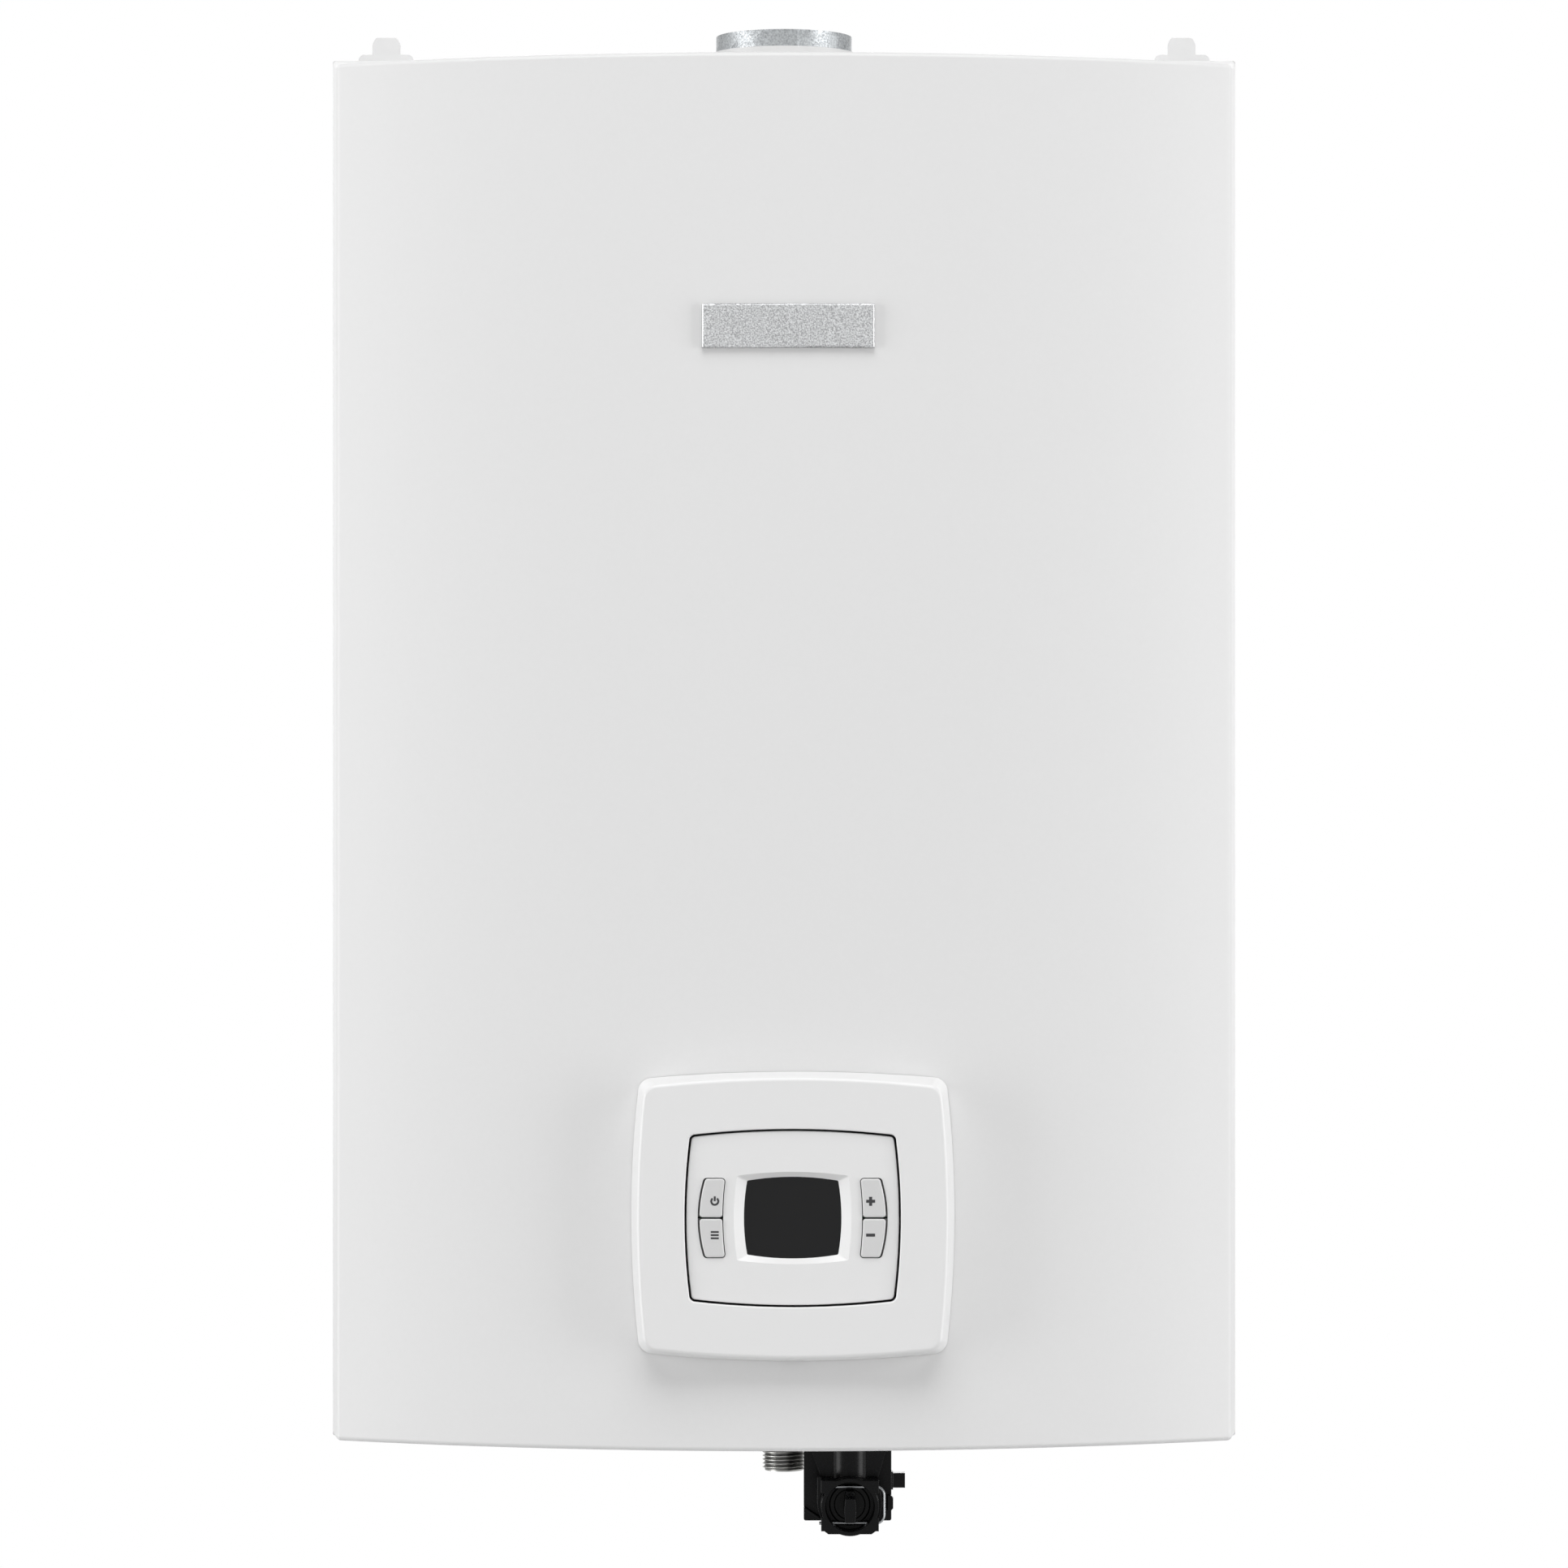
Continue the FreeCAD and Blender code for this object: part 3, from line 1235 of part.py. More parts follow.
def make_fan():
    """Snail housing, bladed wheel and motor."""
    body = new_body("fan_housing")
    outside = new_sketch(body, "XY_Plane", FAN_Z)
    scroll(outside, "0")
    feature(body, "Pad", outside, Length="fan_height")
    inside = new_sketch(body, "XY_Plane", f"{FAN_Z} + stack_gauge")
    scroll(inside, "stack_gauge")
    feature(body, "Pocket", inside, backwards=True, Length="fan_height - 2 * stack_gauge")
    eye = new_sketch(body, "XY_Plane", FAN_Z)
    disc(eye, "-fan_shift", FAN_Y, "wheel_eye")
    feature(body, "Pocket", eye, backwards=True, Length="stack_gauge")
    gland = new_sketch(body, "XY_Plane", f"{FAN_Z} + fan_height")
    disc(gland, "-fan_shift", FAN_Y, "hub_radius")
    feature(body, "Pocket", gland, Length="stack_gauge")
    wheel = new_body("fan_wheel")
    plate = new_sketch(wheel, "XY_Plane", "wheel_height - blade_gauge")
    disc(plate, "0", "0", "wheel_radius")
    feature(wheel, "Pad", plate, Length="blade_gauge")
    hub = new_sketch(wheel, "XY_Plane", "wheel_height / 3")
    disc(hub, "0", "0", "hub_radius")
    feature(wheel, "Pad", hub, Length="wheel_height * 2 / 3")
    shaft = new_sketch(wheel, "XY_Plane", "wheel_height")
    disc(shaft, "0", "0", "shaft_radius")
    feature(wheel, "Pad", shaft, Length="fan_height - wheel_lift - wheel_height + motor_height")
    ring = new_sketch(wheel, "XY_Plane")
    disc(ring, "0", "0", "wheel_radius")
    disc(ring, "0", "0", "wheel_eye + 2 * blade_gauge")
    feature(wheel, "Pad", ring, Length="blade_gauge")
    vane = new_sketch(wheel, "XY_Plane")
    tip_x = "wheel_radius * cos(vane_sweep)"
    tip_y = "wheel_radius * sin(vane_sweep)"
    bow = "(wheel_radius - wheel_eye)"
    outline(vane, [
        ("wheel_eye", "0", bow, 1),
        ("wheel_eye + blade_gauge", "0"),
        (tip_x, f"{tip_y} - blade_gauge", bow, -1),
        (f"{tip_x} - blade_gauge", tip_y),
    ])
    vanes = feature(wheel, "Pad", vane, Length="wheel_height")
    around(wheel, vanes, "vane_count")
    place(wheel, "-fan_shift", FAN_Y, f"{FAN_Z} + wheel_lift")
    motor_z = f"{FAN_Z} + fan_height"
    can = rod("motor_radius", "motor_height", "-fan_shift", FAN_Y, motor_z)
    cap = rod("motor_cap_radius", "motor_cap_height", "-fan_shift", FAN_Y, f"{motor_z} + motor_height")
    bore = rod("shaft_radius + shaft_gap", "motor_height + shaft_gap", "-fan_shift", FAN_Y, motor_z)
    piece("fan_motor", cut(fuse(can, cap), bore))


def make_flue():
    """Elbow box after the fan and the round socket through the top."""
    half = "elbow_width / 2"
    outer = block(f"-{half}", half, f"-flue_setback - {half}", f"-flue_setback + {half}", FAN_Z, ELBOW_TOP)
    inner = block(f"-{half} + stack_gauge", f"{half} - stack_gauge",
                  f"-flue_setback - {half} + stack_gauge", f"-flue_setback + {half} - stack_gauge",
                  f"{FAN_Z} + stack_gauge", f"{ELBOW_TOP} - stack_gauge")
    mouth_low = f"{FAN_Y} - 3 * scroll_step - scroll_radius + stack_gauge"
    mouth = block(f"-{half}", f"-{half} + stack_gauge",
                  mouth_low, f"{mouth_low} + scroll_outlet - 2 * stack_gauge",
                  f"{FAN_Z} + stack_gauge", f"{FAN_Z} + fan_height - stack_gauge")
    throat = rod("flue_throat_radius", "stack_gauge", "0", "-flue_setback", f"{ELBOW_TOP} - stack_gauge")
    piece("flue_elbow", cut(outer, inner, mouth, throat))
    body = new_body("flue_socket")
    sketch = new_sketch(body, "XZ_Plane", "flue_setback")
    outlet = f"({TOP} + flue_rise)"
    outline(sketch, [
        ("flue_throat_radius", ELBOW_TOP),
        ("flue_outer_radius + flue_flange", ELBOW_TOP),
        ("flue_outer_radius + flue_flange", f"{ELBOW_TOP} + stack_gauge"),
        ("flue_outer_radius", f"{ELBOW_TOP} + stack_gauge"),
        ("flue_outer_radius", outlet),
        ("flue_bore_radius", outlet),
        ("flue_bore_radius", f"{outlet} - flue_socket"),
        ("flue_throat_radius", f"{outlet} - flue_socket"),
    ])
    turned = feature(body, "Revolution", sketch)
    turned.ReferenceAxis = (sketch, ["V_Axis"])
    turned.Angle = FULL_TURN
    doc.recompute()


def make_gas_line():
    """Threaded inlet, lock nut, valve, coils and manifold with its jets."""
    low = f"{FLOOR} - gas_drop"
    thread = rod("thread_radius", "thread_length", "0", "-gas_setback", low)
    shoulder = rod("shoulder_radius", "gas_drop - thread_length", "0", "-gas_setback",
                   f"{low} + thread_length")
    stem = rod("gas_pipe_radius", f"{VALVE_Z} - {FLOOR}", "0", "-gas_setback", FLOOR)
    bore = rod("gas_bore_radius", f"{VALVE_Z} - ({low})", "0", "-gas_setback", low)
    piece("gas_inlet", cut(fuse(thread, shoulder, stem), bore))
    nut = hexagon("lock_nut_across", "lock_nut_height", "0", "-gas_setback", DECK)
    nut_hole = rod("gas_pipe_radius + hole_gap", "lock_nut_height", "0", "-gas_setback", DECK)
    piece("gas_lock_nut", cut(nut, nut_hole))
    case = block("-valve_width / 2", "valve_width / 2", "-gas_setback - valve_depth / 2",
                 "-gas_setback + valve_depth / 2", VALVE_Z, VALVE_TOP)
    case = rounded(case, "valve_corner", runs_along(Z_AXIS))
    boss = rod("outlet_boss_radius", "outlet_boss_height", "0", "-gas_setback", VALVE_TOP)
    way = rod("gas_bore_radius", "valve_height + outlet_boss_height", "0", "-gas_setback", VALVE_Z)
    piece("gas_valve", cut(fuse(case, boss), way))
    coil_z = f"{VALVE_Z} + valve_height / 2"
    coil_end = "(valve_width / 2 + coil_length)"
    piece("gas_solenoids", group(
        fuse(rod("coil_radius", "coil_length", "valve_width / 2", "-gas_setback", coil_z, "x"),
             rod("coil_cap_radius", "coil_cap_length", coil_end, "-gas_setback", coil_z, "x")),
        fuse(rod("coil_radius", "coil_length", f"-{coil_end}", "-gas_setback", coil_z, "x"),
             rod("coil_cap_radius", "coil_cap_length", f"-{coil_end} - coil_cap_length", "-gas_setback",
                 coil_z, "x"))))
    near = "-gas_setback - rail_side / 2"
    far = "-gas_setback + rail_side / 2"
    rail_top = f"{RAIL_Z} + rail_side"
    half = f"({STACK_HALF} - rail_inset)"
    rail = block(f"-{half}", half, near, far, RAIL_Z, rail_top)
    room = block(f"-{half} + rail_wall", f"{half} - rail_wall", f"{near} + rail_wall",
                 f"{far} - rail_wall", f"{RAIL_Z} + rail_wall", f"{rail_top} - rail_wall")
    entry = rod("gas_bore_radius", "rail_wall", "0", "-gas_setback", RAIL_Z)
    jets = []
    holes = [room, entry]
    for step in range(int(value("blade_count"))):
        x = f"{step} * {BLADE_PITCH} - {BLADE_ROW} / 2"
        jets.append(rod("jet_radius", "jet_height", x, "-gas_setback", rail_top))
        holes.append(rod("jet_bore", "jet_height + rail_wall", x, "-gas_setback", f"{rail_top} - rail_wall"))
    piece("gas_manifold", cut(fuse(rail, *jets), *holes))


def make_water_pipes():
    """Cold and hot pipes with their threaded ends."""
    reach = f"({STACK_HALF} + tube_reach)"
    piece("cold_pipe", pipe([
        ("water_shift", "-water_setback", SENSOR_TOP),
        ("water_shift", "-water_setback", f"{TURN_Z} + pipe_bend"),
        (PIPE_SIDE, FRONT_TUBE, f"{TURN_Z} + pipe_bend"),
        (PIPE_SIDE, FRONT_TUBE, TUBE_Z),
        (reach, FRONT_TUBE, TUBE_Z),
    ], "pipe_radius", "pipe_bend"))
    piece("hot_pipe", pipe([
        (f"-{reach}", BACK_TUBE, TUBE_Z),
        (f"-{PIPE_SIDE}", BACK_TUBE, TUBE_Z),
        (f"-{PIPE_SIDE}", BACK_TUBE, TURN_Z),
        ("-hot_shift", "-gas_setback", TURN_Z),
        ("-hot_shift", "-gas_setback", f"{DECK} + lock_nut_height"),
    ], "pipe_radius", "pipe_bend"))
    low = f"{FLOOR} - hot_drop"
    thread = rod("thread_radius", "hot_thread_length", "-hot_shift", "-gas_setback", low)
    shoulder = rod("shoulder_radius", "hot_drop - hot_thread_length", "-hot_shift", "-gas_setback",
                   f"{low} + hot_thread_length")
    stem = rod("gas_pipe_radius", "sheet_gauge", "-hot_shift", "-gas_setback", FLOOR)
    nut = hexagon("lock_nut_across", "lock_nut_height", "-hot_shift", "-gas_setback", DECK)
    bore = rod("gas_bore_radius", "hot_drop + sheet_gauge + lock_nut_height",
               "-hot_shift", "-gas_setback", low)
    piece("hot_outlet", cut(fuse(thread, shoulder, stem, nut), bore))
    low = f"{FLOOR} - cold_drop"
    seat = f"{FLOOR} - cold_block_bottom"
    collar = rod("shoulder_radius", "gas_drop - thread_length", "water_shift", "-cold_setback",
                 f"{seat} - gas_drop + thread_length")
    nipple = rod("thread_radius", "cold_drop - cold_block_bottom", "water_shift", "-cold_setback", low)
    bore = rod("gas_bore_radius", "cold_drop - cold_block_bottom", "water_shift", "-cold_setback", low)
    piece("cold_inlet", cut(fuse(nipple, collar), bore))


def make_water_inlet():
    """Moulded inlet body under the casing, its plug, seal, screen and clip."""
    x = "water_shift"
    rear = "(-water_face + housing_length)"
    left = f"{x} - housing_radius"
    right = f"{x} + housing_radius"
    block_back = "-water_face + housing_block_depth"
    head_top = f"{WATER_Z} + housing_block_top"
    head_low = f"{WATER_Z} - housing_block_bottom"
    barrel = rod("housing_radius", "housing_length", x, "-water_face", WATER_Z, "y")
    lugs = block(left, right, "-water_face", block_back, f"{WATER_Z} + head_lug_low", head_top)
    foot = block(left, right, "-water_face", block_back, head_low, f"{WATER_Z} - head_foot_high")
    step = slab([
        (f"{x} - head_step_half - head_step_slope", head_low),
        (f"{x} - head_step_half", f"{head_low} - head_step"),
        (f"{x} + head_step_half", f"{head_low} - head_step"),
        (f"{x} + head_step_half + head_step_slope", head_low),
    ], block_back, "housing_block_depth")
    catch = block(f"{left} - catch_gauge", left, "-water_face + catch_set", block_back,
                  f"{WATER_Z} + catch_low", f"{WATER_Z} + catch_high")
    saddle = rod("saddle_radius", "saddle_depth", x, f"{rear} - saddle_depth", WATER_Z, "y")
    column = rod("column_radius", "water_drop + column_stand", x, "-water_setback", WATER_Z)
    plate_low = f"{FLOOR} - plate_drop"
    plate = block(f"{x} - plate_left", f"{x} + plate_right", PLATE_FRONT, rear, plate_low, FLOOR)
    across = runs_along(Y_AXIS)
    at_foot = lies_at(Z_AXIS, plate_low)
    plate = rounded(plate, "plate_corner", lambda edge: across(edge) and at_foot(edge))
    rib = slab([
        (f"{x} - plate_left", f"{WATER_Z} - rib_high"),
        (f"{x} - plate_left", f"{WATER_Z} - rib_high - rib_gauge"),
        (left, f"{WATER_Z} - rib_low - rib_gauge"),
        (left, f"{WATER_Z} - rib_low"),
    ], PLATE_FRONT, "rib_depth")
    stop = slab([
        (f"{x} + stop_inner", f"{WATER_Z} - stop_low"),
        (f"{x} + stop_outer - stop_bevel", f"{WATER_Z} - stop_low"),
        (f"{x} + stop_outer", f"{WATER_Z} - stop_low + stop_bevel"),
        (f"{x} + stop_outer", f"{WATER_Z} + stop_high - stop_bevel"),
        (f"{x} + stop_outer - stop_bevel", f"{WATER_Z} + stop_high"),
        (f"{x} + stop_inner", f"{WATER_Z} + stop_high"),
    ], f"{PLATE_FRONT} + stop_bite", "stop_depth + stop_bite")
    flange = block(f"{x} - inlet_flange_half", f"{x} + inlet_flange_half",
                   "-water_setback - inlet_flange_half", "-cold_setback + cold_block_radius",
                   f"{FLOOR} - inlet_flange_gauge", FLOOR)
    tail = rod("cold_block_radius", "cold_block_bottom", x, "-cold_setback", f"{FLOOR} - cold_block_bottom")
    bridge = block(f"{x} - cold_block_radius", f"{x} + cold_block_radius", rear, "-cold_setback",
                   f"{FLOOR} - cold_block_bottom", FLOOR)
    lug_y = f"{rear} - plate_gauge / 2"
    lug_z = f"{FLOOR} - lug_drop"
    lug_base = f"{x} + plate_right"
    collar = "(lug_half + lug_collar)"
    lug = block(lug_base, f"{lug_base} + lug_length", f"{lug_y} - lug_half + lug_collar",
                f"{lug_y} + lug_half - lug_collar", f"{lug_z} - lug_half", f"{lug_z} + lug_half")
    lug_foot = block(lug_base, f"{lug_base} + lug_collar", f"{lug_y} - lug_half", f"{lug_y} + lug_half",
                     f"{lug_z} - {collar}", f"{lug_z} + {collar}")
    webs = [
        slab([
            (f"{x} {side} {width}", FLOOR),
            (f"{x} {side} housing_radius", head_top),
            (f"{x} {side} column_radius / 2", head_top),
            (f"{x} {side} column_radius / 2", FLOOR),
        ], PLATE_FRONT, "web_gauge")
        for side, width in (("-", "plate_left"), ("+", "plate_right"))
    ]
    solid = fuse(barrel, lugs, foot, step, catch, saddle, column, plate, rib, stop, flange, tail, bridge,
                 lug, lug_foot, *webs)
    port = rod("port_radius", "port_depth", x, "-water_face", WATER_Z, "y")
    bore = rod("plug_bore_radius", "plug_bore_depth", x, PORT_FLOOR, WATER_Z, "y")
    passage = rod("column_bore", "water_drop + column_stand", x, "-water_setback", WATER_Z)
    feed_z = f"{FLOOR} - cold_block_bottom / 2"
    intake = rod("gas_bore_radius", "cold_block_bottom / 2", x, "-cold_setback",
                 f"{FLOOR} - cold_block_bottom")
    feed_end = f"({lug_y} - feed_radius)"
    feed = rod("feed_radius", f"-cold_setback - {feed_end}", x, feed_end, feed_z, "y")
    drop = rod("drop_radius", f"{feed_z} - {WATER_Z}", x, lug_y, WATER_Z)
    leg_y = f"{PORT_FLOOR} - clip_set"
    room = "(clip_radius + clip_room)"
    slots = []
    for side in ("-", "+"):
        centre = f"{WATER_Z} {side} clip_half"
        slots.append(block(f"{left} - catch_gauge", right, f"{leg_y} - {room}", f"{leg_y} + {room}",
                           f"{centre} - {room}", f"{centre} + {room}"))
    piece("water_inlet_body", cut(solid, port, bore, passage, intake, feed, drop, *slots))
    make_plug()
    piece("retaining_clip", routed("retaining_clip", [
        (f"{x} - clip_tip", leg_y, f"{WATER_Z} + clip_half"),
        (f"{x} + clip_bend", leg_y, f"{WATER_Z} + clip_half"),
        (f"{x} + clip_bend", leg_y, f"{WATER_Z} - clip_half"),
        (f"{x} - clip_tip", leg_y, f"{WATER_Z} - clip_half"),
    ], "clip_radius", "clip_corner"))


def make_plug():
    """Filter plug with its grip, drawn about +Z and laid along +Y, its seal and its screen."""
    tilt = ALONG["y"]
    spot = ("water_shift", PORT_FLOOR, WATER_Z)
    body = new_body("filter_plug")
    sketch = new_sketch(body, "XZ_Plane")
    disc_end = "(shaft_gap + plug_disc)"
    groove_end = f"({disc_end} + plug_groove)"
    flange_end = f"({groove_end} + plug_flange)"
    dish = "(shaft_gap + dish_depth)"
    outline(sketch, [
        ("0", dish), ("dish_radius", dish), ("dish_radius", "shaft_gap"),
        ("plug_radius", "shaft_gap"), ("plug_radius", disc_end),
        ("plug_groove_radius", disc_end), ("plug_groove_radius", groove_end), ("plug_radius", groove_end),
        ("plug_radius", flange_end), ("spigot_radius", flange_end),
        ("spigot_radius", f"{flange_end} + screen_length"), ("0", f"{flange_end} + screen_length"),
    ])
    turned = feature(body, "Revolution", sketch)
    turned.ReferenceAxis = (sketch, ["V_Axis"])
    turned.Angle = FULL_TURN
    doc.recompute()
    grip_front = "(-port_depth - grip_proud)"
    grip = new_sketch(body, "XY_Plane", grip_front)
    half = "(grip_root / 2)"
    rise = "((grip_width - grip_end) / 2)"
    bow = f"({half} ^ 2 + {rise} ^ 2) / (2 * {rise})"
    outline(grip, [
        ("grip_end / 2", f"-{half}"),
        ("grip_end / 2", half, bow, -1),
        ("-grip_end / 2", half),
        ("-grip_end / 2", f"-{half}", bow, -1),
    ])
    feature(body, "Pad", grip, Length=f"{dish} - {grip_front}")
    taper = new_sketch(body, "YZ_Plane", "grip_width")
    for side in ("-", ""):
        outline(taper, [
            (f"{side}grip_height / 2", grip_front),
            (f"{side}grip_root", grip_front),
            (f"{side}grip_root", "0"),
            (f"{side}grip_root / 2", "0"),
        ])
    feature(body, "Pocket", taper, Length="2 * grip_width")
    place(body, *spot, tilt)
    ring = doc.addObject("Part::Torus", "ring")
    bind(ring, Radius1="(plug_groove_radius + plug_bore_radius) / 2", Radius2="seal_radius")
    place(ring, "water_shift", f"{PORT_FLOOR} + {disc_end} + plug_groove / 2", WATER_Z, tilt)
    piece("plug_seal", ring)
    start = f"{PORT_FLOOR} + {flange_end}"
    sleeve = rod("screen_radius", "screen_length", "water_shift", start, WATER_Z, "y")
    room = rod("screen_radius - screen_gauge", "screen_length - screen_gauge", "water_shift", start,
               WATER_Z, "y")
    socket = rod("spigot_radius + press_gap", "screen_length", "water_shift", start, WATER_Z, "y")
    piece("filter_screen", cut(sleeve, room, socket))


def make_flow_sensor():
    """Sensor body over the inlet column and its turbine."""
    x = "water_shift"
    y = "-water_setback"
    can = rod("sensor_radius", "sensor_height", x, y, SENSOR_Z)
    passage = rod("column_bore", "sensor_height", x, y, SENSOR_Z)
    cell = rod("sensor_cell_radius", "sensor_height - 2 * sensor_floor", x, y, f"{SENSOR_Z} + sensor_floor")
    shell = cut(can, passage, cell)
    bars = []
    for z in (SENSOR_Z, f"{SENSOR_TOP} - bridge_height"):
        bars.append(block(f"{x} - column_bore - press_gap", f"{x} + column_bore + press_gap",
                          f"{y} - bridge_width", f"{y} + bridge_width", z, f"{z} + bridge_height"))
    eye = rod("spindle_radius + shaft_gap", "sensor_height", x, y, SENSOR_Z)
    piece("flow_sensor_body", cut(fuse(shell, *bars), eye))
    body = new_body("flow_turbine")
    hub = new_sketch(body, "XY_Plane", "-sensor_height / 2 + bridge_height / 2")
    disc(hub, "0", "0", "spindle_radius")
    feature(body, "Pad", hub, Length="sensor_height - bridge_height")
    core = new_sketch(body, "XY_Plane", "-vane_length / 2")
    disc(core, "0", "0", "2 * spindle_radius")
    feature(body, "Pad", core, Length="vane_length")
    vane = new_sketch(body, "XY_Plane", "-vane_length / 2")
    rectangle(vane, "spindle_radius", "vane_radius", "-blade_gauge / 2", "blade_gauge / 2")
    vanes = feature(body, "Pad", vane, Length="vane_length")
    around(body, vanes, "turbine_vanes")
    place(body, x, y, f"({SENSOR_Z} + {SENSOR_TOP}) / 2")


def make_small_fittings():
    """Sensors, ignition unit, pressure switch, brackets and cable gland."""
    piece("limit_thermostat", rod("thermostat_radius", "thermostat_height",
                                  f"{STACK_HALF} - thermostat_inset",
                                  f"{STACK_FRONT} - thermostat_height", TUBE_Z, "y"))
    probe_x = f"-{PIPE_SIDE} - pipe_radius - press_gap - probe_length"
    piece("hot_sensor", rod("probe_radius", "probe_length", probe_x, BACK_TUBE,
                            f"{FLOOR} + probe_level", "x"))
    igniter_z = f"{BURNER_Z} - igniter_drop"
    igniter_x = f"-{INNER_HALF} + igniter_inset"
    case = block(igniter_x, f"{igniter_x} + igniter_width", "-sheet_gauge - igniter_depth",
                 "-sheet_gauge", igniter_z, f"{igniter_z} + igniter_height")
    case = rounded(case, "igniter_corner", runs_along(Z_AXIS))
    posts = [
        rod("terminal_radius", "terminal_height", f"{igniter_x} + igniter_width / 2 {side} post_spread / 2",
            "-sheet_gauge - igniter_depth / 2", f"{igniter_z} + igniter_height") for side in ("-", "+")]
    piece("ignition_unit", fuse(case, *posts))
    switch_z = f"{TOP} - switch_drop"
    switch_x = f"{INNER_HALF} - switch_inset"
    can = rod("switch_disc_radius", "switch_disc_depth", switch_x, "-sheet_gauge - switch_disc_depth",
              switch_z, "y")
    ports = [
        rod("switch_port_radius", "switch_port_length", f"{switch_x} {side} switch_disc_radius / 2",
            "-sheet_gauge - switch_disc_depth - switch_port_length", switch_z, "y") for side in ("-", "+")]
    piece("pressure_switch", fuse(can, *ports))
    channels = []
    low = f"{CHAMBER_Z} + stay_channel_rise"
    for side in ("-", ""):
        x = f"{side}stay_channel_spread / 2"
        left = f"{x} - stay_channel_width / 2"
        right = f"{x} + stay_channel_width / 2"
        high = f"{low} + stay_channel_height"
        outer = block(left, right, STACK_BACK, "-sheet_gauge", low, high)
        inner = block(f"{left} + stack_gauge", f"{right} - stack_gauge",
                      f"{STACK_BACK} + stack_gauge", "-sheet_gauge - stack_gauge", low, high)
        channels.append(cut(outer, inner))
    piece("stack_brackets", group(*channels))
    barrel = rod("gland_radius", "sheet_gauge + 2 * gland_stand", GLAND_X, "-gland_setback",
                 f"{FLOOR} - gland_stand")
    flange = rod("gland_flange", "gland_stand", GLAND_X, "-gland_setback", f"{FLOOR} - gland_stand")
    nut = hexagon("2 * gland_flange", "gland_stand", GLAND_X, "-gland_setback", DECK)
    hole = rod("gland_bore", "sheet_gauge + 2 * gland_stand", GLAND_X, "-gland_setback",
               f"{FLOOR} - gland_stand")
    piece("cable_gland", cut(fuse(barrel, flange, nut), hole))


def check_and_export():
    """Stop on any broken object, then write one file per sub-part."""
    doc.recompute()
    for item in doc.Objects:
        if "Invalid" in item.State or "Error" in item.State:
            raise RuntimeError(f"{item.Label} did not build: {item.State}")
    os.makedirs("parts", exist_ok=True)
    for label, item in PIECES.items():
        if item.Shape.isNull() or not item.Shape.isValid() or not item.Shape.Solids:
            raise RuntimeError(f"{label} has no valid solid")
        item.Shape.exportStep(f"parts/{label}.step")


make_back_panel()
make_hanger_plates()
make_side_panel("side_panel_left", "-")
make_side_panel("side_panel_right", "")
make_top_panel()
make_bottom_panel()
make_front_cover()
make_badge_plate()
make_bezel()
make_control_fascia()
make_button("power_button", "-", True)
make_button("menu_button", "-", False)
make_button("plus_button", "", True)
make_button("minus_button", "", False)
make_controls_behind()
make_cover_screws()
make_burner()
make_chamber()
make_exchanger()
make_hood()
make_fan()
make_flue()
make_gas_line()
make_water_pipes()
make_water_inlet()
make_flow_sensor()
make_small_fittings()
check_and_export()
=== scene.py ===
"""Looks of a wall-hung gas water heater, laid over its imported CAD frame."""

import json
import math

import bmesh
import bpy
from bpy.props import FloatProperty, FloatVectorProperty, IntProperty, PointerProperty
from mathutils import Matrix, Vector


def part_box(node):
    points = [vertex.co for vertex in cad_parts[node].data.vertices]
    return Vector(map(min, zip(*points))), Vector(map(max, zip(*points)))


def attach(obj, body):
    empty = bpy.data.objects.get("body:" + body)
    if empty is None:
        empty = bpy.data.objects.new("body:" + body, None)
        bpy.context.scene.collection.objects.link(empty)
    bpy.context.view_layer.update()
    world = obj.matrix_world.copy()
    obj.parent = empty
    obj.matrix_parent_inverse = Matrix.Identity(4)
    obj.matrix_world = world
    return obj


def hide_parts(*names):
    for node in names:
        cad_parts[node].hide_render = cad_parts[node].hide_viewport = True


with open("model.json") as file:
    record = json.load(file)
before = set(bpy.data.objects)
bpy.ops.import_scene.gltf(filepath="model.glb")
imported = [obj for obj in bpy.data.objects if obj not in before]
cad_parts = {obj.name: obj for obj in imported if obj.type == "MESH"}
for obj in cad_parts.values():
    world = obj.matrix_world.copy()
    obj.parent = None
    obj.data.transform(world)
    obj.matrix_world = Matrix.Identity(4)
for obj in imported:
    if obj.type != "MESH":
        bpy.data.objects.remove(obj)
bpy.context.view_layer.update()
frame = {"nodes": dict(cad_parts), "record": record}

bl_info = {
    "name": "Wall-Hung Gas Water Heater",
    "version": (1, 0, 0),
    "blender": (4, 5, 0),
    "location": "3D View > Sidebar > Water Heater",
    "description": "Finishes, threads, signs, fasteners and studio of a wall-hung gas water heater",
    "category": "Object",
}

MM = 0.001
WHITE = (1, 1, 1, 1)
# Sockets of the Mix node in its colour form
MIX_FACTOR, MIX_A, MIX_B, MIX_OUT = 0, 6, 7, 2

RECORD = frame["record"]
SLOT_OF = {row["node"]: row["material_slot"] for row in RECORD["subparts"]}
BODY_OF = {node: body for body, nodes in RECORD["behaviour"]["bodies"].items() for node in nodes}
MOUNT = {row["name"]: row for row in RECORD["mounts"]}


def linear(code):
    """Linear colour of an sRGB hex code."""
    shares = [int(code[at:at + 2], 16) / 255 for at in (0, 2, 4)]
    return tuple(x / 12.92 if x <= 0.04045 else ((x + 0.055) / 1.055) ** 2.4 for x in shares)


def paint(label, code, words):
    """Colour that a user may change."""
    return FloatVectorProperty(name=label, description=words, subtype="COLOR", size=3, min=0,
                               max=1, default=linear(code))


def length(label, millimetres, words):
    """Length that a user may change."""
    return FloatProperty(name=label, description=words, unit="LENGTH", min=0, precision=5,
                         default=millimetres * MM)


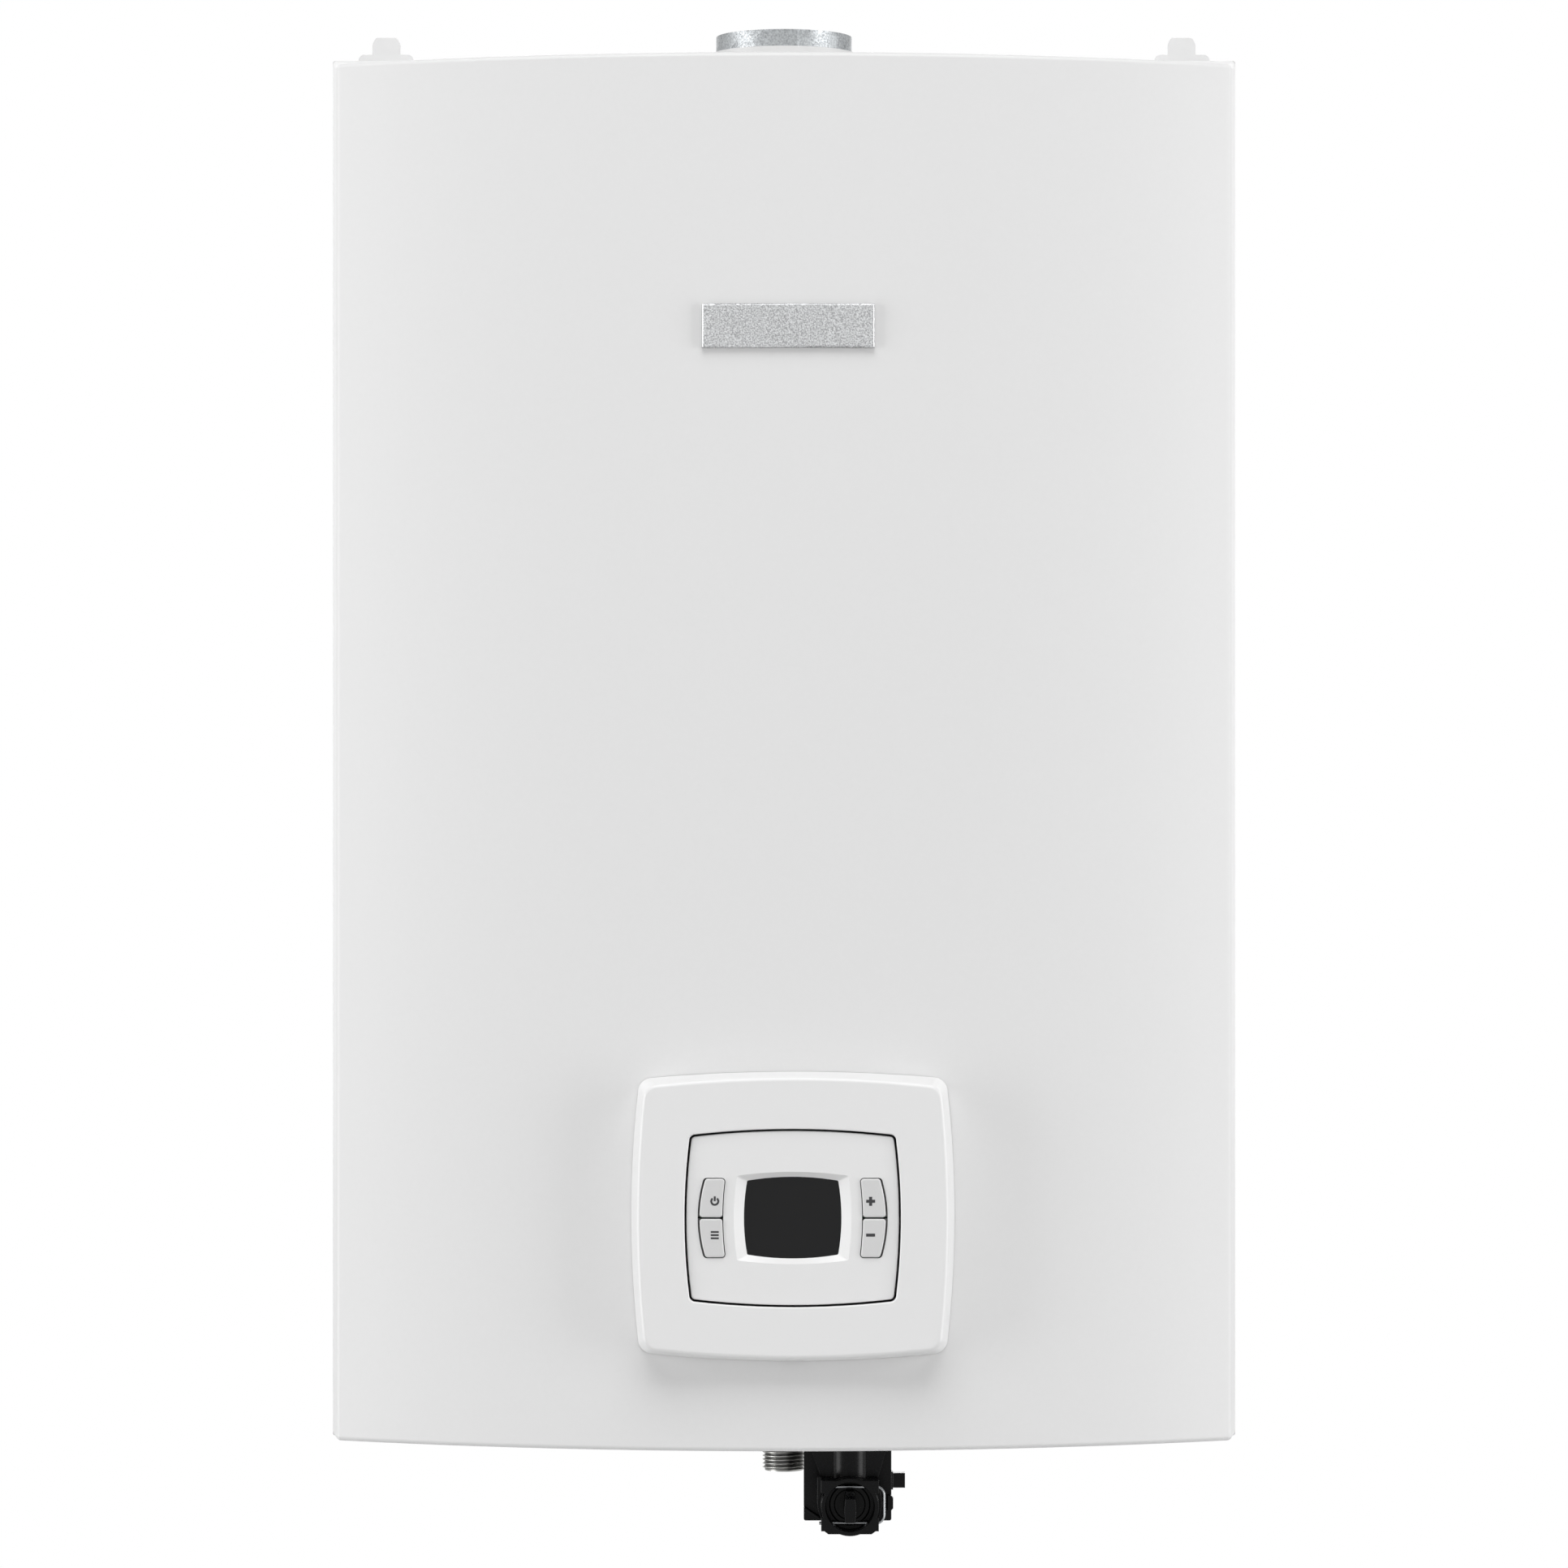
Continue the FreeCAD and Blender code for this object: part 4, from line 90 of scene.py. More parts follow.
class HeaterColours(bpy.types.PropertyGroup):
    """Colours of the finishes."""

    enamel: paint("Enamel", "E4E4E4", "Powder coat of the casing and the cover")
    trim: paint("Trim", "E8E8E8", "Moulded bezel and fascia")
    keys: paint("Keys", "D4D4D4", "Push buttons")
    ink: paint("Ink", "2C2C2E", "Printed signs")
    display: paint("Display", "121213", "Smoked lens of the display")
    zinc: paint("Zinc", "A3A6A8", "Galvanised sheet")
    inlet: paint("Inlet", "070708", "Moulded water inlet")
    plating: paint("Plating", "A8A8A5", "Nickel plate of the gas thread")
    copper: paint("Copper", "C07A58", "Exchanger and pipes")
    floor: paint("Floor", "BCBCBC", "Studio floor")


class HeaterSizes(bpy.types.PropertyGroup):
    """Sizes of what this script adds."""

    thread_pitch: length("Thread pitch", 1.814,
                         "Axial step of the pipe thread, 14 turns to the inch")
    thread_depth: length("Thread depth", 1.16, "Depth of the thread's grooves")
    sign_width: length("Sign width", 4.1, "Width of the signs on the keys")
    sign_stroke: length("Sign stroke", 1.4, "Width of a bold stroke")
    ink_lift: length("Ink lift", 0.08, "Thickness of the printed ink")
    seam_width: length("Seam width", 1.0, "Width of the flue's welded seam")
    seam_lift: length("Seam lift", 0.3, "Height of the seam over the tube")
    screw_across: length("Screw head", 5.5, "Size across the flats of the casing screws")
    screw_washer: length("Screw washer", 4.4, "Radius of the screws' pressed washer")
    screw_head: length("Screw head height", 2.6, "Height of the screws' hexagon over its seat")
    casing_screws: IntProperty(
        name="Casing screws", description="Screws along each edge of the casing",
        default=3, min=2)
    stack_screws: IntProperty(
        name="Stack screws", description="Screws along each joint of the stack inside",
        default=5, min=2)


class HeaterStudio(bpy.types.PropertyGroup):
    """Light, floor and camera."""

    side_power: FloatProperty(
        name="Side lamps", description="Power of each side softbox", default=114, unit="POWER")
    top_power: FloatProperty(
        name="Top lamp", description="Power of the softbox overhead", default=194, unit="POWER")
    rear_power: FloatProperty(
        name="Rear lamp", description="Power of the softbox behind", default=50, unit="POWER")
    ambient: FloatProperty(
        name="Ambient", description="Level of the light from all round", default=0.13,
        min=0, max=1, subtype="FACTOR")
    floor_level: FloatProperty(
        name="Floor level", description="Height of the floor, from the hanging holes",
        default=-2.5, unit="LENGTH")
    floor_glow: FloatProperty(
        name="Floor glow", description="Lift of the floor to the eye", default=0.54,
        min=0, max=1, subtype="FACTOR")
    lens: FloatProperty(
        name="Lens", description="Focal length in millimetres", default=129.02, unit="CAMERA")


class HeaterSettings(bpy.types.PropertyGroup):
    """All that a user may change."""

    colours: PointerProperty(type=HeaterColours)
    sizes: PointerProperty(type=HeaterSizes)
    studio: PointerProperty(type=HeaterStudio)


def settings():
    """Settings of the present scene."""
    return bpy.context.scene.water_heater


def add(tree, kind, inputs=None, **options):
    """Add a node with its options, and its inputs as values or links."""
    made = tree.nodes.new(kind)
    for name, value in options.items():
        setattr(made, name, value)
    for key, value in (inputs or {}).items():
        if isinstance(value, bpy.types.NodeSocket):
            tree.links.new(value, made.inputs[key])
        else:
            made.inputs[key].default_value = value
    return made


def toned(colour, factor):
    """Colour made darker or lighter, with full alpha."""
    return tuple(min(1.0, share * factor) for share in colour) + (1.0,)


def empty_material(name):
    """Material with no nodes yet."""
    material = bpy.data.materials.new(name)
    material.use_nodes = True
    material.node_tree.nodes.clear()
    return material


def principled(material):
    """Main shader of a material."""
    return next(node for node in material.node_tree.nodes if node.type == "BSDF_PRINCIPLED")


# Steps of ever finer grain in a coat or a moulding
GRAIN_DETAIL = 4.0
# Rays that feel for a gap, where shade is painted, and for an edge
PAINTED_SHADE_RAYS, EDGE_RAYS = 8, 12
# Share of open sky where the painted shade in a gap is at its darkest and where it ends, and how
# dark the painted shade gets
PAINTED_SHADE_SHUT, PAINTED_SHADE_CLEAR, PAINTED_SHADE_TONE = 0.08, 0.4, 0.03


def grained(name, colour, *, spread, grain, roughness, relief, metallic=0.0, ior=None,
            stretch=(1, 1, 1), edge=0.0, painted_shade_depth=0.0):
    """Finish whose colour, gloss and relief follow one grain; all lengths in millimetres.

    An edge breaks sharp corners by that radius; a painted shade depth paints shade into gaps of
    about that depth, darkening the colour where little light reaches.
    """
    material = empty_material(name)
    tree = material.node_tree
    spot = add(tree, "ShaderNodeTexCoord").outputs["Object"]
    laid = add(tree, "ShaderNodeMapping", {"Vector": spot, "Scale": stretch}).outputs[0]
    grey = add(tree, "ShaderNodeTexNoise", {
        "Vector": laid, "Scale": 1 / (grain * MM), "Detail": GRAIN_DETAIL}).outputs["Fac"]
    tint = add(tree, "ShaderNodeMix", {
        MIX_FACTOR: grey, MIX_A: toned(colour, 1 - spread), MIX_B: toned(colour, 1 + spread),
    }, data_type="RGBA").outputs[MIX_OUT]
    # Painted shade: the colour goes near black in gaps and slots, by how little open sky they see
    if painted_shade_depth:
        sky = add(tree, "ShaderNodeAmbientOcclusion", {"Distance": painted_shade_depth * MM},
                  samples=PAINTED_SHADE_RAYS).outputs["AO"]
        clear = add(tree, "ShaderNodeMapRange", {
            "Value": sky, "From Min": PAINTED_SHADE_SHUT, "From Max": PAINTED_SHADE_CLEAR}).outputs[0]
        tint = add(tree, "ShaderNodeMix", {
            MIX_FACTOR: clear, MIX_A: toned(colour, PAINTED_SHADE_TONE), MIX_B: tint,
        }, data_type="RGBA").outputs[MIX_OUT]
    gloss = add(tree, "ShaderNodeMapRange", {
        "Value": grey, "To Min": roughness[0], "To Max": roughness[1]}).outputs[0]
    bump = add(tree, "ShaderNodeBump", {"Height": grey, "Distance": relief * MM})
    if edge:
        soft = add(tree, "ShaderNodeBevel", {"Radius": edge * MM}, samples=EDGE_RAYS)
        tree.links.new(soft.outputs[0], bump.inputs["Normal"])
    shader = add(tree, "ShaderNodeBsdfPrincipled", {
        "Base Color": tint, "Roughness": gloss, "Normal": bump.outputs[0], "Metallic": metallic})
    if ior:
        shader.inputs["IOR"].default_value = ior
    add(tree, "ShaderNodeOutputMaterial", {"Surface": shader.outputs[0]})
    return material


def end_in_metal(tree, tint, gloss, bump):
    """Close the tree of a bare metal with its colour, gloss and relief."""
    shader = add(tree, "ShaderNodeBsdfPrincipled", {
        "Base Color": tint, "Roughness": gloss, "Normal": bump, "Metallic": 1.0})
    add(tree, "ShaderNodeOutputMaterial", {"Surface": shader.outputs[0]})


def galvanised(name, colour):
    """Hot-dip zinc on steel: dull frosty crystals a few millimetres wide under a fine speckle."""
    crystal_width, speckle_width, relief = 6 * MM, 0.9 * MM, 0.05 * MM
    # Weight of the crystals against the speckle, and the speckle's contrast
    crystal_weight, weak, strong = 0.45, 0.3, 0.7
    dark, pale = 0.55, 1.3
    dull, bright = 0.56, 0.38
    material = empty_material(name)
    tree = material.node_tree
    spot = add(tree, "ShaderNodeTexCoord").outputs["Object"]
    cells = add(tree, "ShaderNodeTexVoronoi", {
        "Vector": spot, "Scale": 1 / crystal_width, "Randomness": 1.0})
    crystal = add(tree, "ShaderNodeSeparateColor", {0: cells.outputs["Color"]}).outputs[0]
    speckle = add(tree, "ShaderNodeTexNoise", {
        "Vector": spot, "Scale": 1 / speckle_width, "Detail": 3.0}).outputs["Fac"]
    grit = add(tree, "ShaderNodeMapRange", {
        "Value": speckle, "From Min": weak, "From Max": strong}).outputs[0]
    blend = add(tree, "ShaderNodeMath", {0: crystal, 1: crystal_weight, 2: grit},
                operation="MULTIPLY_ADD").outputs[0]
    share = add(tree, "ShaderNodeMapRange", {
        "Value": blend, "From Max": 1 + crystal_weight}).outputs[0]
    tint = add(tree, "ShaderNodeMix", {
        MIX_FACTOR: share, MIX_A: toned(colour, dark), MIX_B: toned(colour, pale),
    }, data_type="RGBA").outputs[MIX_OUT]
    gloss = add(tree, "ShaderNodeMapRange", {
        "Value": share, "To Min": dull, "To Max": bright}).outputs[0]
    bump = add(tree, "ShaderNodeBump", {"Height": share, "Distance": relief}).outputs[0]
    end_in_metal(tree, tint, gloss, bump)
    return material


def blasted_plate(name, colour):
    """Cast aluminium blasted with fine grit, both ends cut: grey sparkle between bright lines."""
    # Real grit is about 0.1 mm; it is drawn at 0.7 mm to show
    grit_width, relief = 0.7 * MM, 0.07 * MM
    weak, strong = 0.34, 0.66
    dark, pale = 0.62, 1.25
    blasted, cut = 0.52, 0.2
    # Sideways lean of the surface, where the blasted face stops and where the cut end begins
    face_lean, end_lean = 0.1, 0.3
    material = empty_material(name)
    tree = material.node_tree
    spot = add(tree, "ShaderNodeTexCoord").outputs["Object"]
    noise = add(tree, "ShaderNodeTexNoise", {
        "Vector": spot, "Scale": 1 / grit_width, "Detail": 2.0}).outputs["Fac"]
    grit = add(tree, "ShaderNodeMapRange", {
        "Value": noise, "From Min": weak, "From Max": strong}).outputs[0]
    normal = add(tree, "ShaderNodeNewGeometry").outputs["True Normal"]
    facing = add(tree, "ShaderNodeSeparateXYZ", {0: normal}).outputs
    aside = add(tree, "ShaderNodeMath", {0: facing["X"]}, operation="ABSOLUTE").outputs[0]
    end = add(tree, "ShaderNodeMapRange", {
        "Value": aside, "From Min": face_lean, "From Max": end_lean}).outputs[0]
    tint = add(tree, "ShaderNodeMix", {
        MIX_FACTOR: grit, MIX_A: toned(colour, dark), MIX_B: toned(colour, pale),
    }, data_type="RGBA").outputs[MIX_OUT]
    gloss = add(tree, "ShaderNodeMapRange", {
        "Value": end, "To Min": blasted, "To Max": cut}).outputs[0]
    depth = add(tree, "ShaderNodeMapRange", {
        "Value": end, "To Min": relief, "To Max": 0.0}).outputs[0]
    bump = add(tree, "ShaderNodeBump", {"Height": grit, "Distance": depth}).outputs[0]
    end_in_metal(tree, tint, gloss, bump)
    return material


def oxidised_copper(name, colour):
    """Drawn copper that has stood in warm air: pink metal clouded with brown oxide."""
    cloud_width, line_width, relief = 38 * MM, 1.6 * MM, 0.015 * MM
    clean, clouded = 0.35, 0.68
    pink, brown = 1.1, 0.62
    bright, dull = 0.26, 0.46
    material = empty_material(name)
    tree = material.node_tree
    spot = add(tree, "ShaderNodeTexCoord").outputs["Object"]
    cloud = add(tree, "ShaderNodeTexNoise", {
        "Vector": spot, "Scale": 1 / cloud_width, "Detail": 5.0}).outputs["Fac"]
    stain = add(tree, "ShaderNodeMapRange", {
        "Value": cloud, "From Min": clean, "From Max": clouded}).outputs[0]
    drawn = add(tree, "ShaderNodeTexNoise", {
        "Vector": spot, "Scale": 1 / line_width, "Detail": 2.0}).outputs["Fac"]
    tint = add(tree, "ShaderNodeMix", {
        MIX_FACTOR: stain, MIX_A: toned(colour, pink), MIX_B: toned(colour, brown),
    }, data_type="RGBA").outputs[MIX_OUT]
    gloss = add(tree, "ShaderNodeMapRange", {
        "Value": stain, "To Min": bright, "To Max": dull}).outputs[0]
    bump = add(tree, "ShaderNodeBump", {"Height": drawn, "Distance": relief}).outputs[0]
    end_in_metal(tree, tint, gloss, bump)
    return material


def plated_thread(name, colour):
    """Nickel on turned brass, its colour darkened towards the roots of the thread as painted shade.

    The groove attribute rises from the crests to the roots.
    """
    # How dark the painted shade in the thread's roots gets
    painted_root_shade = 0.35
    material = grained(name, colour, spread=0.14, grain=1.2, roughness=(0.3, 0.42), relief=0.01,
                       metallic=1.0)
    tree = material.node_tree
    shader = principled(material)
    bright = shader.inputs["Base Color"].links[0].from_socket
    # Painted shade: the colour darkens along the groove, from the crests to the roots
    groove = add(tree, "ShaderNodeAttribute", attribute_name="groove").outputs["Fac"]
    tint = add(tree, "ShaderNodeMix", {
        MIX_FACTOR: groove, MIX_A: bright, MIX_B: toned(colour, painted_root_shade),
    }, data_type="RGBA").outputs[MIX_OUT]
    tree.links.new(tint, shader.inputs["Base Color"])
    return material


def solder_mask(name):
    """Green lacquer over etched tracks: two greens in a fine right-angled pattern."""
    track_step, relief = 12 * MM, 0.03 * MM
    material = empty_material(name)
    tree = material.node_tree
    spot = add(tree, "ShaderNodeTexCoord").outputs["Object"]
    turned_flat = add(tree, "ShaderNodeMapping", {
        "Vector": spot, "Rotation": (math.pi / 2, 0, 0)}).outputs[0]
    tracks = add(tree, "ShaderNodeTexBrick", {
        "Vector": turned_flat, "Scale": 1 / track_step, "Mortar Size": 0.03,
        "Color1": linear("1C6B3C") + (1,), "Color2": linear("185C34") + (1,),
        "Mortar": linear("2F8A52") + (1,)})
    bump = add(tree, "ShaderNodeBump", {"Height": tracks.outputs["Fac"], "Distance": relief})
    shader = add(tree, "ShaderNodeBsdfPrincipled", {
        "Base Color": tracks.outputs["Color"], "Normal": bump.outputs[0], "Roughness": 0.35,
        "IOR": 1.55})
    add(tree, "ShaderNodeOutputMaterial", {"Surface": shader.outputs[0]})
    return material


def sight_pane(name):
    """Rolled borosilicate: clear, a little wavy."""
    material = grained(name, linear("DDE6E2"), spread=0.04, grain=4, roughness=(0.02, 0.06),
                       relief=0.02, ior=1.47)
    principled(material).inputs["Transmission Weight"].default_value = 0.9
    return material


def make_finishes(colours):
    """One material for each of the record's slots."""
    return {
        # Polyester powder baked on steel: soft gloss with a faint orange peel
        "white_enamel": grained(
            "powder_coated_steel", colours.enamel, spread=0.012, grain=2.2,
            roughness=(0.42, 0.5), relief=0.012, ior=1.5),
        "galvanised_steel": galvanised("galvanised_steel", colours.zinc),
        # Aluminium-silicon dip on steel: flat pale grey with rolling streaks
        "aluminised_steel": grained(
            "aluminised_steel", linear("AEB0B0"), spread=0.16, grain=3,
            roughness=(0.36, 0.52), relief=0.02, metallic=1.0, stretch=(1, 1, 0.2)),
        "copper": oxidised_copper("oxidised_copper", colours.copper),
        # Turned brass left bare: yellow with fine lathe lines
        "brass": grained(
            "turned_brass", linear("B8985A"), spread=0.1, grain=1.5,
            roughness=(0.22, 0.34), relief=0.012, metallic=1.0, stretch=(0.2, 0.2, 1)),
        "nickel_plated_brass": plated_thread("nickel_plated_brass", colours.plating),
        # Hard-drawn wire and pressed screws: bright steel, a little uneven
        "spring_steel": grained(
            "drawn_steel", linear("96989A"), spread=0.14, grain=0.8,
            roughness=(0.26, 0.4), relief=0.008, metallic=1.0),
        # Pressure die casting: grey skin with a soft grain
        "die_cast_aluminium": grained(
            "die_cast_aluminium", linear("A8AAAB"), spread=0.12, grain=2.5,
            roughness=(0.4, 0.55), relief=0.05, metallic=1.0),
        "badge_aluminium": blasted_plate("blasted_aluminium", linear("B4B5B6")),
        # ABS from a spark-eroded mould: satin with a very fine grain, and painted shade that turns
        # its gaps black
        "white_plastic": grained(
            "moulded_abs_white", colours.trim, spread=0.008, grain=0.7,
            roughness=(0.26, 0.34), relief=0.01, ior=1.53, painted_shade_depth=5),
        # The same in grey, with a softer satin, rounded edges and painted shade in its gaps, for
        # the keys
        "grey_plastic": grained(
            "moulded_abs_grey", colours.keys, spread=0.015, grain=0.8,
            roughness=(0.3, 0.4), relief=0.012, ior=1.53, edge=0.7, painted_shade_depth=3),
        # Glass-filled nylon: near black, cloudy gloss where fibres reach the skin
        "black_plastic": grained(
            "glass_filled_nylon", colours.inlet, spread=0.25, grain=1.4,
            roughness=(0.2, 0.36), relief=0.02, ior=1.24, edge=0.6),
        # Smoked acrylic over an unlit display: deep grey under a clear gloss
        "display_black": grained(
            "smoked_acrylic", colours.display, spread=0.06, grain=9,
            roughness=(0.1, 0.16), relief=0.0, ior=1.3),
        "circuit_board": solder_mask("solder_mask"),
        # Glazed alumina: warm white, wet gloss
        "ceramic": grained(
            "glazed_alumina", linear("E6E2D8"), spread=0.03, grain=3,
            roughness=(0.1, 0.2), relief=0.01, ior=1.6),
        "glass": sight_pane("borosilicate_pane"),
        # Nitrile rubber: matt black bloom
        "seal_rubber": grained(
            "nitrile_rubber", linear("1C1C1C"), spread=0.2, grain=1.0,
            roughness=(0.62, 0.8), relief=0.02, ior=1.52),
        # Stoved lacquer on a motor can: even dark grey
        "motor_black": grained(
            "stoved_lacquer", linear("303133"), spread=0.1, grain=1.8,
            roughness=(0.45, 0.6), relief=0.02, ior=1.5),
    }


def finish_of(slot):
    """Material that the first operator made for a slot."""
    return bpy.data.materials[bpy.context.scene["finish_" + slot]]


def new_piece(name, mesh, body, slot, material=None):
    """Put a finished mesh in the scene as a piece of one body."""
    piece = bpy.data.objects.new(name, mesh)
    bpy.context.scene.collection.objects.link(piece)
    mesh.materials.clear()
    mesh.materials.append(material or finish_of(slot))
    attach(piece, body)
    return piece


def shaded(mesh, degrees=30):
    """Smooth faces with edges sharp past an angle."""
    mesh.shade_smooth()
    mesh.set_sharp_from_angle(angle=math.radians(degrees))
    return mesh


def closed_mesh(name, build):
    """Mesh of a finished build, its faces turned outwards."""
    mesh = bpy.data.meshes.new(name)
    bmesh.ops.recalc_face_normals(build, faces=build.faces)
    build.to_mesh(mesh)
    build.free()
    return mesh


# Kinds of ring in a turned mesh, and the steps round it
PLAIN, THREADED, HEXAGONAL = range(3)
SEGMENTS = 96


def ring_radius(radius, kind, turn):
    """Radius of a ring at one turn; a hexagon takes the radius as half its flats."""
    if kind != HEXAGONAL:
        return radius
    sixth = math.pi / 3
    return radius / math.cos(turn % sixth - sixth / 2)


def lathe(name, axis, rings, segments=SEGMENTS):
    """Closed turned mesh; rings (radius, height, kind) run up the outside and down the bore."""
    build = bmesh.new()
    marks = build.verts.layers.float.new("thread")
    rows = []
    for radius, height, kind in rings:
        row = []
        for step in range(segments):
            turn = 2 * math.pi * step / segments
            reach = ring_radius(radius, kind, turn)
            vert = build.verts.new((axis[0] + reach * math.cos(turn),
                                    axis[1] + reach * math.sin(turn), height))
            vert[marks] = float(kind == THREADED)
            row.append(vert)
        rows.append(row)
    for low, high in zip(rows, rows[1:] + rows[:1]):
        for step in range(segments):
            after = (step + 1) % segments
            build.faces.new((low[step], low[after], high[after], high[step]))
    return closed_mesh(name, build)


def open_tree(name, floats, others=()):
    """Node tree with geometry in and out and named inputs; gives it and its input sockets."""
    tree = bpy.data.node_groups.new(name, "GeometryNodeTree")
    sockets = [("Geometry", "Geometry")] + [(label, "Float") for label in floats] + list(others)
    for label, kind in sockets:
        tree.interface.new_socket(name=label, in_out="INPUT", socket_type="NodeSocket" + kind)
    tree.interface.new_socket(name="Geometry", in_out="OUTPUT", socket_type="NodeSocketGeometry")
    return tree, add(tree, "NodeGroupInput").outputs


def close_tree(tree, geometry, finish):
    """End a tree in real geometry with one material."""
    real = add(tree, "GeometryNodeRealizeInstances", {"Geometry": geometry}).outputs[0]
    done = add(tree, "GeometryNodeSetMaterial", {
        "Geometry": real, "Material": finish}).outputs[0]
    add(tree, "NodeGroupOutput", {"Geometry": done})


def thread_tree():
    """Cut a right-hand thread into the marked rows of an upright turned piece."""
    # Share of a pitch from crest to root; both are rounded off over a sixth of it
    flank_end, crest_end, root_start = 0.5, 0.08, 0.42
    tree, given = open_tree("helical_thread", ("Pitch", "Depth", "Axis X", "Axis Y"),
                            [("Finish", "Material")])
    place = add(tree, "GeometryNodeInputPosition").outputs[0]
    at = add(tree, "ShaderNodeSeparateXYZ", {0: place}).outputs
    across = add(tree, "ShaderNodeMath", {0: at["X"], 1: given["Axis X"]},
                 operation="SUBTRACT").outputs[0]
    along = add(tree, "ShaderNodeMath", {0: at["Y"], 1: given["Axis Y"]},
                operation="SUBTRACT").outputs[0]
    turn = add(tree, "ShaderNodeMath", {0: along, 1: across}, operation="ARCTAN2").outputs[0]
    turns = add(tree, "ShaderNodeMath", {0: turn, 1: 2 * math.pi}, operation="DIVIDE").outputs[0]
    steps = add(tree, "ShaderNodeMath", {0: at["Z"], 1: given["Pitch"]},
                operation="DIVIDE").outputs[0]
    phase = add(tree, "ShaderNodeMath", {0: steps, 1: turns}, operation="SUBTRACT").outputs[0]
    slope = add(tree, "ShaderNodeMath", {0: phase, 1: flank_end}, operation="PINGPONG").outputs[0]
    flank = add(tree, "ShaderNodeMapRange", {
        "Value": slope, "From Min": crest_end, "From Max": root_start,
    }, interpolation_type="SMOOTHSTEP").outputs[0]
    marked = add(tree, "GeometryNodeInputNamedAttribute", {"Name": "thread"},
                 data_type="FLOAT").outputs[0]
    groove = add(tree, "ShaderNodeMath", {0: flank, 1: marked}, operation="MULTIPLY").outputs[0]
    cut = add(tree, "ShaderNodeMath", {0: groove, 1: given["Depth"]},
              operation="MULTIPLY").outputs[0]
    inward = add(tree, "ShaderNodeMath", {0: cut, 1: -1.0}, operation="MULTIPLY").outputs[0]
    spoke = add(tree, "ShaderNodeCombineXYZ", {"X": across, "Y": along}).outputs[0]
    unit = add(tree, "ShaderNodeVectorMath", {0: spoke}, operation="NORMALIZE").outputs[0]
    shift = add(tree, "ShaderNodeVectorMath", {0: unit, "Scale": inward},
                operation="SCALE").outputs[0]
    noted = add(tree, "GeometryNodeStoreNamedAttribute", {
        "Geometry": given["Geometry"], "Name": "groove", "Value": groove,
    }, data_type="FLOAT", domain="POINT").outputs[0]
    moved = add(tree, "GeometryNodeSetPosition", {
        "Geometry": noted, "Offset": shift}).outputs[0]
    close_tree(tree, moved, given["Finish"])
    return tree


def fastener_tree():
    """Set one fastener on every point, its axis along the point's facing attribute."""
    tree, given = open_tree("fasteners", (), [("Fastener", "Object"), ("Finish", "Material")])
    facing = add(tree, "GeometryNodeInputNamedAttribute", {"Name": "facing"},
                 data_type="FLOAT_VECTOR").outputs[0]
    aim = add(tree, "FunctionNodeAlignRotationToVector", {"Vector": facing}, axis="Z").outputs[0]
    shape = add(tree, "GeometryNodeObjectInfo", {
        "Object": given["Fastener"]}).outputs["Geometry"]
    points = add(tree, "GeometryNodeMeshToPoints", {"Mesh": given["Geometry"]}).outputs[0]
    placed = add(tree, "GeometryNodeInstanceOnPoints", {
        "Points": points, "Instance": shape, "Rotation": aim}).outputs[0]
    close_tree(tree, placed, given["Finish"])
    return tree


def evaluated(mesh, tree, values):
    """Plain mesh that a node tree makes of another mesh."""
    carrier = bpy.data.objects.new("carrier", mesh)
    bpy.context.scene.collection.objects.link(carrier)
    modifier = carrier.modifiers.new("shape", "NODES")
    modifier.node_group = tree
    for item in tree.interface.items_tree:
        if item.in_out == "INPUT" and item.name in values:
            modifier[item.identifier] = values[item.name]
    graph = bpy.context.evaluated_depsgraph_get()
    result = bpy.data.meshes.new_from_object(carrier.evaluated_get(graph))
    carrier.modifiers.remove(modifier)
    bpy.data.objects.remove(carrier)
    return result


def outline_solid(build, points, near, far):
    """Add an upright prism of an outline (x, z) between two planes across Y."""
    front = [build.verts.new((x, near, z)) for x, z in points]
    back = [build.verts.new((x, far, z)) for x, z in points]
    build.faces.new(front)
    build.faces.new(back[::-1])
    for step in range(len(points)):
        after = (step + 1) % len(points)
        build.faces.new((front[after], front[step], back[step], back[after]))


def bar_outline(x, z, width, height):
    """Rectangle around a centre."""
    return [(x - width / 2, z - height / 2), (x + width / 2, z - height / 2),
            (x + width / 2, z + height / 2), (x - width / 2, z + height / 2)]


def cross_outline(x, z, width, stroke):
    """Plus sign around a centre."""
    far, near = width / 2, stroke / 2
    corners = [(far, -near), (far, near), (near, near), (near, far),
               (-near, far), (-near, near), (-far, near), (-far, -near),
               (-near, -near), (-near, -far), (near, -far), (near, -near)]
    return [(x + across, z + up) for across, up in corners]


def arc_outline(x, z, outer, inner, gap, steps=40):
    """Ring around a centre, open at the top by an angle either side of it."""
    sweep = 2 * math.pi - 2 * gap
    turns = [math.pi / 2 + gap + sweep * step / steps for step in range(steps + 1)]
    outside = [(x + outer * math.cos(turn), z + outer * math.sin(turn)) for turn in turns]
    inside = [(x + inner * math.cos(turn), z + inner * math.sin(turn)) for turn in turns]
    return outside + inside[::-1]


class HEATER_OT_finishes(bpy.types.Operator):
    """Give every CAD node the finish of its slot"""

    bl_idname = "heater.finishes"
    bl_label = "Finishes"

    def execute(self, context):
        finishes = make_finishes(settings().colours)
        for slot, material in finishes.items():
            context.scene["finish_" + slot] = material.name
        for node, item in frame["nodes"].items():
            item.data.materials.clear()
            item.data.materials.append(finishes[SLOT_OF[node]])
        return {"FINISHED"}


